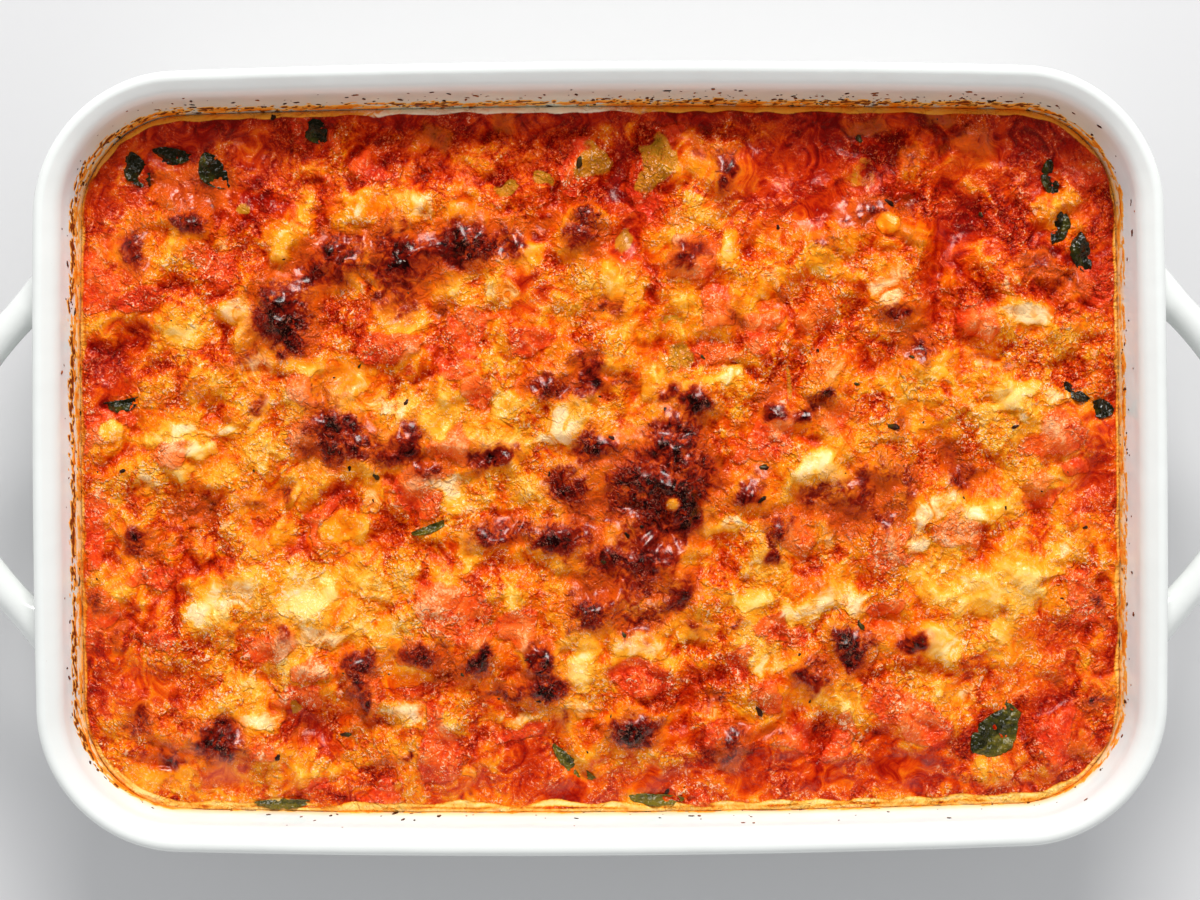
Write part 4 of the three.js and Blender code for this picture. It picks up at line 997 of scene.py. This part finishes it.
def leaf_blade(place, number):
    """Points and faces of one leaf, and for every point how green it is and how far up a vein."""
    cx, cy, length, width, turn, bend, blunt = place
    turn = math.radians(turn)
    long_steps = np.linspace(0, 1, LEAF_LONG_STEPS + 1)
    wide_steps = np.linspace(-1, 1, LEAF_WIDE_STEPS + 1)
    t, across = np.meshgrid(long_steps, wide_steps, indexing="ij")
    leafy = np.sin(math.pi * t ** (1 - 0.2 * blunt)) ** 0.75
    ragged = 1 + 0.1 * waves(t * 8, np.sign(across) * 3 + number, 1, 91)
    notch = smooth((waves(t * 5, np.sign(across) * 5 + number, 1, 93) - 0.35) / 0.3)
    half_wide = (width / 2 - LEAF_EDGE) * np.maximum(leafy, blunt * 0.55 * smooth(2 * t)) + LEAF_EDGE
    half_wide = half_wide * ragged * (1 - 0.25 * notch)
    along = (2 * t - 1) * length / 2
    side = across * half_wide + bend * ((2 * t - 1) ** 2 - 0.4)
    x = cx + along * math.cos(turn) - side * math.sin(turn)
    y = cy + along * math.sin(turn) + side * math.cos(turn)
    lie = bed_height(x, y) + 0.35 * np.sin(6 * t + 2 * across) + 0.3 * across ** 2 - 0.5
    rib = np.exp(-(across / 0.13) ** 2) * (1 - t)
    veins = 0.5 + 0.5 * np.cos(2 * math.pi * (t * 7 - np.abs(across) * 1.2))
    crumple = 0.95 * layered_waves(x, y, 4.4, 95, 3, 0.55)
    middle = lie + crumple + 0.22 * rib + 0.1 * veins ** 3
    half_thick = LEAF_THICKNESS / 2 * (1 - 0.7 * np.maximum(np.abs(across), np.abs(2 * t - 1)) ** 6)
    over = np.column_stack([x.ravel(), y.ravel(), (middle + half_thick).ravel()])
    under = np.column_stack([x.ravel(), y.ravel(), (middle - half_thick).ravel()])
    index = np.arange(x.size).reshape(x.shape)
    a, b, c, d = index[:-1, :-1], index[:-1, 1:], index[1:, 1:], index[1:, :-1]
    top_faces = np.column_stack([a.ravel(), d.ravel(), c.ravel(), b.ravel()])
    rim = np.concatenate([index[0, :-1], index[:-1, -1], index[-1, :0:-1], index[:0:-1, 0]])
    rim_faces = np.column_stack([rim, np.roll(rim, -1), np.roll(rim, -1) + x.size, rim + x.size])
    faces = np.vstack([top_faces, top_faces[:, ::-1] + x.size, rim_faces])
    green = LEAF_GREEN[number] + 0.25 * waves(x, y, 5, 97) + 0.2 * (across < 0)
    raised = rib + 0.5 * veins ** 3
    return np.vstack([over, under]), faces, np.tile(green.ravel(), 2), np.tile(raised.ravel(), 2)


basil = Finish("basil")
spot = basil.place()
green, vein, _ = basil.fields("leaf")
blotch = basil.noise(spot, 700, 3, 0.6)
leaf_colour = basil.mix((green + (blotch - 0.5) * 0.6).above(0.1, 0.5), BASIL_BLACK, BASIL_GREEN)
olive = (green + vein * 0.25 + (blotch - 0.5) * 0.8).above(0.4, 0.9)
leaf_colour = basil.mix(olive, leaf_colour, BASIL_OLIVE)
leaf_material = basil.surface(
    {"Base Color": leaf_colour, "Roughness": 0.16, "IOR": 1.5, "Specular IOR Level": 0.5},
    [(basil.noise(spot, 900, 2, 0.5, 0.5), 0.0006)],
)
for number, place in enumerate(LEAVES):
    points, faces, green, vein = leaf_blade(place, number)
    leaf = make_piece(f"basil_{number + 1:02d}", points, faces)
    add_attribute(leaf, "leaf", [green, vein])
    leaf.data.materials.append(leaf_material)
    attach(leaf, "root")
    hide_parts(f"leaf_{number + 1:02d}")


# The baked-on ring
# Sauce and fat that dried and burnt on to the inner wall round the food, a skin a fraction of a
# millimetre thick that stuck there as the food sank. Its bare places dip under the glaze.
RING_LOW = 33
RING_HIGH = 58
RING_ROWS = 36
RING_BURIED = 0.14
RING_THICKNESS = 0.42
RING_AMBER_THIN = (0.97, 0.46, 0.075, 1)
RING_AMBER = (0.86, 0.20, 0.004, 1)
RING_FAT = (0.92, 0.62, 0.17, 1)
RING_CRUST = (0.20, 0.035, 0.006, 1)

ring_anchors, ring_outwards = plan(54, 250, 165)
wall_line = dish_ring(ring_anchors, ring_outwards, wall_inset(SAUCE_LEVEL), SAUCE_LEVEL)
run = np.cumsum(np.hypot(*(wall_line - np.roll(wall_line, 1, 0))[:, :2].T))
ring_z = np.linspace(RING_LOW, RING_HIGH, RING_ROWS + 1)
u, z = np.meshgrid(run, ring_z)
x_at = wall_line[:, 0]
to_right, to_far = np.maximum(ring_outwards, 0).T ** 2
to_left, to_near = np.maximum(-ring_outwards, 0).T ** 2


def by_side(far, left, right, near):
    """A value for each place round the wall, blended from its values on the four sides."""
    return far * to_far + left * to_left + right * to_right + near * to_near


high = by_side(50, 52.2, 50.8, 46.4)
high = high + 1.5 * waves(u, 0 * u, 15, 101) + 1.1 * waves(u, 0 * u, 4, 102) + 0.6 * waves(u, 0 * u, 1.6, 112)
low = by_side(40.5 + 4 * smooth((12 - x_at) / 12), 39.5, 42, 33) + 1.4 * waves(u, 0 * u, 21, 103)
band = smooth((z - low) / 1.4) * smooth((high - z) / 0.9)
streaks = 0.6 * waves(u, z * 4, 9, 104) + 0.5 * waves(u, z * 2, 2.6, 105) + 0.3 * waves(u, z, 1.2, 106)
film = band * (0.5 + 0.9 * streaks + by_side(0, -0.16, -0.14, 0.25))
# Burnt dashes lie along the ring's upper edge, most of all on the left and far sides
dash_rise = by_side(1.8, 2.6, 0.5, 0.7)
dash_drop = by_side(4, 2.4, 1.2, 0.9)
dash_zone = smooth((z - high + dash_drop) / 0.8) * smooth((high + dash_rise - z) / 1.5)
dash_noise = 0.7 * waves(u, z * 2, 3.4, 107) + 0.7 * waves(u, z * 1.2, 1.5, 108)
dash_noise = dash_noise + 0.35 * waves(u, 0 * u, 22, 109) + 0.4 * waves(u, z, 0.8, 111)
dash_need = 0.2 + by_side(-0.1 * smooth(x_at / 30), -0.22, 0.25, 0.35)
dash = dash_zone * smooth((dash_noise - dash_need) / 0.2)
cover = np.maximum(smooth((film - 0.22) / 0.2) * (0.35 + 0.5 * film), dash)
thickness = -RING_BURIED + (RING_BURIED + RING_THICKNESS) * cover
thickness[[0, -1]] = -3 * RING_BURIED
ring_points = np.vstack([
    dish_ring(ring_anchors, ring_outwards, wall_inset(z[r, 0]) + thickness[r], z[r, 0])
    for r in range(RING_ROWS + 1)
])


def wall_faces(rows):
    """Faces that point at the food, over rows of points that run round the wall, lowest row first."""
    i = np.arange(len(run))
    j = (i + 1) % len(run)
    row = np.column_stack([j, i, i + len(run), j + len(run)])
    return np.vstack([row + r * len(run) for r in range(rows)])


lowest = np.arange(len(run))
highest = lowest + RING_ROWS * len(run)
back = np.column_stack([lowest, np.roll(lowest, -1), np.roll(highest, -1), highest])
ring = make_piece("baked_on_ring", ring_points, np.vstack([wall_faces(RING_ROWS), back]))
side_fat = 0.8 * smooth((46 - z) / 2)
fat = by_side(0, side_fat, side_fat, smooth((46.4 - z) / 2))
add_attribute(ring, "stain", [dash.ravel(), fat.ravel(), film.ravel()])

stain = Finish("baked_on")
spot = stain.place()
burnt, fat, film = stain.fields("stain")
blotch = stain.noise(spot, 600, 3, 0.6)
thick = (film + (blotch - 0.5) * 0.8).above(0.3, 0.8)
stain_colour = stain.mix(thick, RING_AMBER_THIN, RING_AMBER)
stain_colour = stain.mix(fat * (blotch + 0.3).above(0.4, 0.7), stain_colour, RING_FAT)
stain_colour = stain.mix((burnt + (blotch - 0.5) * 0.7).above(0.35, 0.75), stain_colour, RING_CRUST)
ring.data.materials.append(stain.surface(
    {"Base Color": stain_colour, "Roughness": 0.3, "IOR": 1.5, "Specular IOR Level": 0.15},
    [(stain.noise(spot, 1400, 2, 0.5), 0.0003)],
))
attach(ring, "root")


# The specks and crumbs
# Splashes of sauce, dried and burnt on the wall above the food, and black crumbs of char and herb
# on the top. Each kind is scattered over its ground, thickest where the ground's fields say.
SPECK_TONES = [
    (0.0, (0.03, 0.008, 0.003, 1)),
    (0.6, (0.12, 0.025, 0.006, 1)),
    (1.0, (0.34, 0.09, 0.015, 1)),
]
CRUMB_TONES = [
    (0.0, (0.010, 0.005, 0.003, 1)),
    (0.55, (0.045, 0.010, 0.004, 1)),
    (1.0, (0.045, 0.040, 0.006, 1)),
]
SPLASH_LOW = 44
SPLASH_HIGH = 61
# Bits to the square metre, and sizes in metres
SPECK_SIZES = {"Density": 260000.0, "Everywhere": 0.008, "Lowest": 0.044, "Smallest": 0.00035,
               "Largest": 0.0014, "Flatness": 0.3}
CRUMB_SIZES = {"Density": 3000.0, "Everywhere": 0.18, "Lowest": 0.042, "Smallest": 0.0004,
               "Largest": 0.0022, "Flatness": 0.5}


def scattered(name, ground, field, settings, seed, material):
    """Lumpy bits laid over a ground by Geometry Nodes, and then made plain mesh."""
    tree = bpy.data.node_groups.new(name, "GeometryNodeTree")
    tree.interface.new_socket("Ground", in_out="INPUT", socket_type="NodeSocketGeometry")
    named = {}
    for label in settings:
        socket = tree.interface.new_socket(label, in_out="INPUT", socket_type="NodeSocketFloat")
        named[label] = socket.identifier
    tree.interface.new_socket("Bits", in_out="OUTPUT", socket_type="NodeSocketGeometry")
    grow = Nodes(tree)
    given = grow.add("NodeGroupInput").outputs()

    def random_number(low, high, offset):
        inputs = {"Min": low, "Max": high, "Seed": seed + offset}
        return grow.add("FunctionNodeRandomValue", {"data_type": "FLOAT"}, inputs)

    fields = grow.add("GeometryNodeInputNamedAttribute", {"data_type": "FLOAT_COLOR"}, {"Name": field})
    share = grow.add("FunctionNodeSeparateColor", None, {"Color": fields}, "Red")
    place_z = grow.add("ShaderNodeSeparateXYZ", None, {"Vector": grow.add("GeometryNodeInputPosition")}, "Z")
    high_enough = grow.math("GREATER_THAN", place_z, given["Lowest"])
    density = (share + given["Everywhere"]) * high_enough * given["Density"]
    points = grow.add("GeometryNodeDistributePointsOnFaces", {"distribute_method": "RANDOM"},
                      {"Mesh": given["Ground"], "Density": density, "Seed": seed}).outputs()
    ball = grow.add("GeometryNodeMeshIcoSphere", None, {"Radius": 0.5, "Subdivisions": 2})
    bulge = grow.add("ShaderNodeTexNoise", None, {"Scale": 2.4, "Detail": 1.0}, "Color")
    bulge = grow.add("ShaderNodeVectorMath", {"operation": "SUBTRACT"}, {0: bulge, 1: (0.5, 0.5, 0.5)})
    ball = grow.add("GeometryNodeSetPosition", None, {"Geometry": ball, "Offset": bulge})
    small = grow.math("POWER", random_number(0.0, 1.0, 1), 2.2)
    span = given["Largest"] - given["Smallest"]
    width = grow.math("MULTIPLY_ADD", small, span, given["Smallest"])
    length = width * random_number(1.0, 1.9, 2)
    size = grow.add("ShaderNodeCombineXYZ", None, {"X": length, "Y": width, "Z": width * given["Flatness"]})
    spin = grow.add("ShaderNodeCombineXYZ", None, {"Z": random_number(0.0, 2 * math.pi, 3)})
    spin = grow.add("FunctionNodeEulerToRotation", None, {"Euler": spin})
    turn = grow.add("FunctionNodeRotateRotation", {"rotation_space": "LOCAL"},
                    {"Rotation": points["Rotation"], "Rotate By": spin})
    bits = grow.add("GeometryNodeInstanceOnPoints", None,
                    {"Points": points["Points"], "Instance": ball, "Rotation": turn, "Scale": size})
    bits = grow.add("GeometryNodeRealizeInstances", None, {"Geometry": bits})
    bits = grow.add("GeometryNodeSetMaterial", None, {"Geometry": bits, "Material": material})
    grow.add("NodeGroupOutput", None, {"Bits": bits})
    grower = bpy.data.objects.new(name, ground)
    bpy.context.scene.collection.objects.link(grower)
    modifier = grower.modifiers.new(name, "NODES")
    modifier.node_group = tree
    for label, value in settings.items():
        modifier[named[label]] = value
    mesh = bpy.data.meshes.new_from_object(grower.evaluated_get(bpy.context.evaluated_depsgraph_get()))
    grower.modifiers.clear()
    grower.data = mesh
    mesh.name = name
    mesh.shade_smooth()
    return grower


def bit_finish(name, tones):
    """Glossy burnt food, a different tone from bit to bit."""
    finish = Finish(name)
    tone = finish.noise(finish.place(), 160, 1)
    colour = finish.ramp(tone.above(0.3, 0.7), tones)
    return finish.surface({"Base Color": colour, "Roughness": 0.32, "IOR": 1.5, "Specular IOR Level": 0.25})


wall_levels = np.linspace(SPLASH_LOW, SPLASH_HIGH, 18)
wall_rings = [dish_ring(ring_anchors, ring_outwards, wall_inset(z) + 0.05, z) for z in wall_levels]
wall_patch = make_piece("wall_patch", np.vstack(wall_rings), wall_faces(len(wall_rings) - 1))
# Most was splashed on the far side, right of the middle, and round the far left corner
splashed = by_side(0.35 + 0.65 * np.exp(-((x_at - 60) / 65) ** 2), 0.16, 0.1, 0.06) + 2 * to_far * to_left
thinning = np.exp(-np.maximum(np.repeat(wall_levels, len(run)) - 49, 0) / 5.5)
add_attribute(wall_patch, "splashed", [np.tile(splashed, len(wall_rings)) * thinning])
speck_material = bit_finish("dried_splash", SPECK_TONES)
specks = scattered("baked_on_specks", wall_patch.data, "splashed", SPECK_SIZES, 5, speck_material)
bpy.data.objects.remove(wall_patch)
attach(specks, "root")
crumb_material = bit_finish("char_crumb", CRUMB_TONES)
crumbs = scattered("char_crumbs", lasagna.data, "toast", CRUMB_SIZES, 9, crumb_material)
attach(crumbs, "root")


# The table, the light and the camera
# A plain pale table, one wide soft window beyond the dish, and weak light from all round that is
# dimmest overhead. The camera looks straight down.
PICTURE_WIDTH = 1200
RIM_MM_PER_PIXEL = 0.3002
CAMERA_LENS_MM = 80
CAMERA_SENSOR_MM = 36
CAMERA_SHIFT_Y_MM = 2.55
CAMERA_ROLL_DEG = -0.4
TABLE_HALF_SIZE = 3000
TABLE_PALE = (0.61, 0.61, 0.615, 1)
WINDOW_LENGTH = 0.78
WINDOW_DEPTH = 0.6
WINDOW_WATTS = 36
WINDOW_PLACE = (0.12, 1.48, 1.2)
WINDOW_WHITE = (1.0, 0.985, 0.97)
ROOM_WHITE = (0.97, 0.98, 1.0, 1)
ROOM_LIGHT = 0.9
OVERHEAD_LIGHT = 0.62

half = TABLE_HALF_SIZE
table_corners = [(-half, -half, 0), (half, -half, 0), (half, half, 0), (-half, half, 0)]
table = make_piece("table", table_corners, [(0, 1, 2, 3)])
table.data.materials.append(Finish("pale_table").surface({"Base Color": TABLE_PALE, "Roughness": 0.5}))

window = bpy.data.lights.new("window", "AREA")
window.shape = "RECTANGLE"
window.size = WINDOW_LENGTH
window.size_y = WINDOW_DEPTH
window.energy = WINDOW_WATTS
window.color = WINDOW_WHITE
window_object = bpy.data.objects.new("window", window)
window_object.location = WINDOW_PLACE
aim = Vector((0, 0, 0.04)) - window_object.location
window_object.rotation_euler = aim.to_track_quat("-Z", "Y").to_euler()
bpy.context.scene.collection.objects.link(window_object)

world = bpy.data.worlds.new("room")
bpy.context.scene.world = world
world.use_nodes = True
room = Nodes(world.node_tree)
direction = room.add("ShaderNodeTexCoord", output="Generated")
upward = room.add("ShaderNodeSeparateXYZ", None, {"Vector": direction}, "Z")
strength = room.add("ShaderNodeMapRange", {"interpolation_type": "SMOOTHSTEP"}, {
    "Value": upward, "From Min": 0.45, "From Max": 0.95, "To Min": ROOM_LIGHT, "To Max": OVERHEAD_LIGHT})
sky = room.add("ShaderNodeBackground", None, {"Color": ROOM_WHITE, "Strength": strength})
room.add("ShaderNodeOutputWorld", None, {"Surface": sky})
world.cycles_visibility.glossy = False

camera = bpy.data.cameras.new("camera")
camera.lens = CAMERA_LENS_MM
camera.sensor_width = CAMERA_SENSOR_MM
camera_object = bpy.data.objects.new("camera", camera)
camera_drop = PICTURE_WIDTH * RIM_MM_PER_PIXEL * CAMERA_LENS_MM / CAMERA_SENSOR_MM
camera_object.location = (0, CAMERA_SHIFT_Y_MM * MM, (LIP_INNER_TOP + camera_drop) * MM)
camera_object.rotation_euler = (0, 0, math.radians(CAMERA_ROLL_DEG))
bpy.context.scene.collection.objects.link(camera_object)
bpy.context.scene.camera = camera_object
bpy.context.scene.view_settings.view_transform = "Standard"
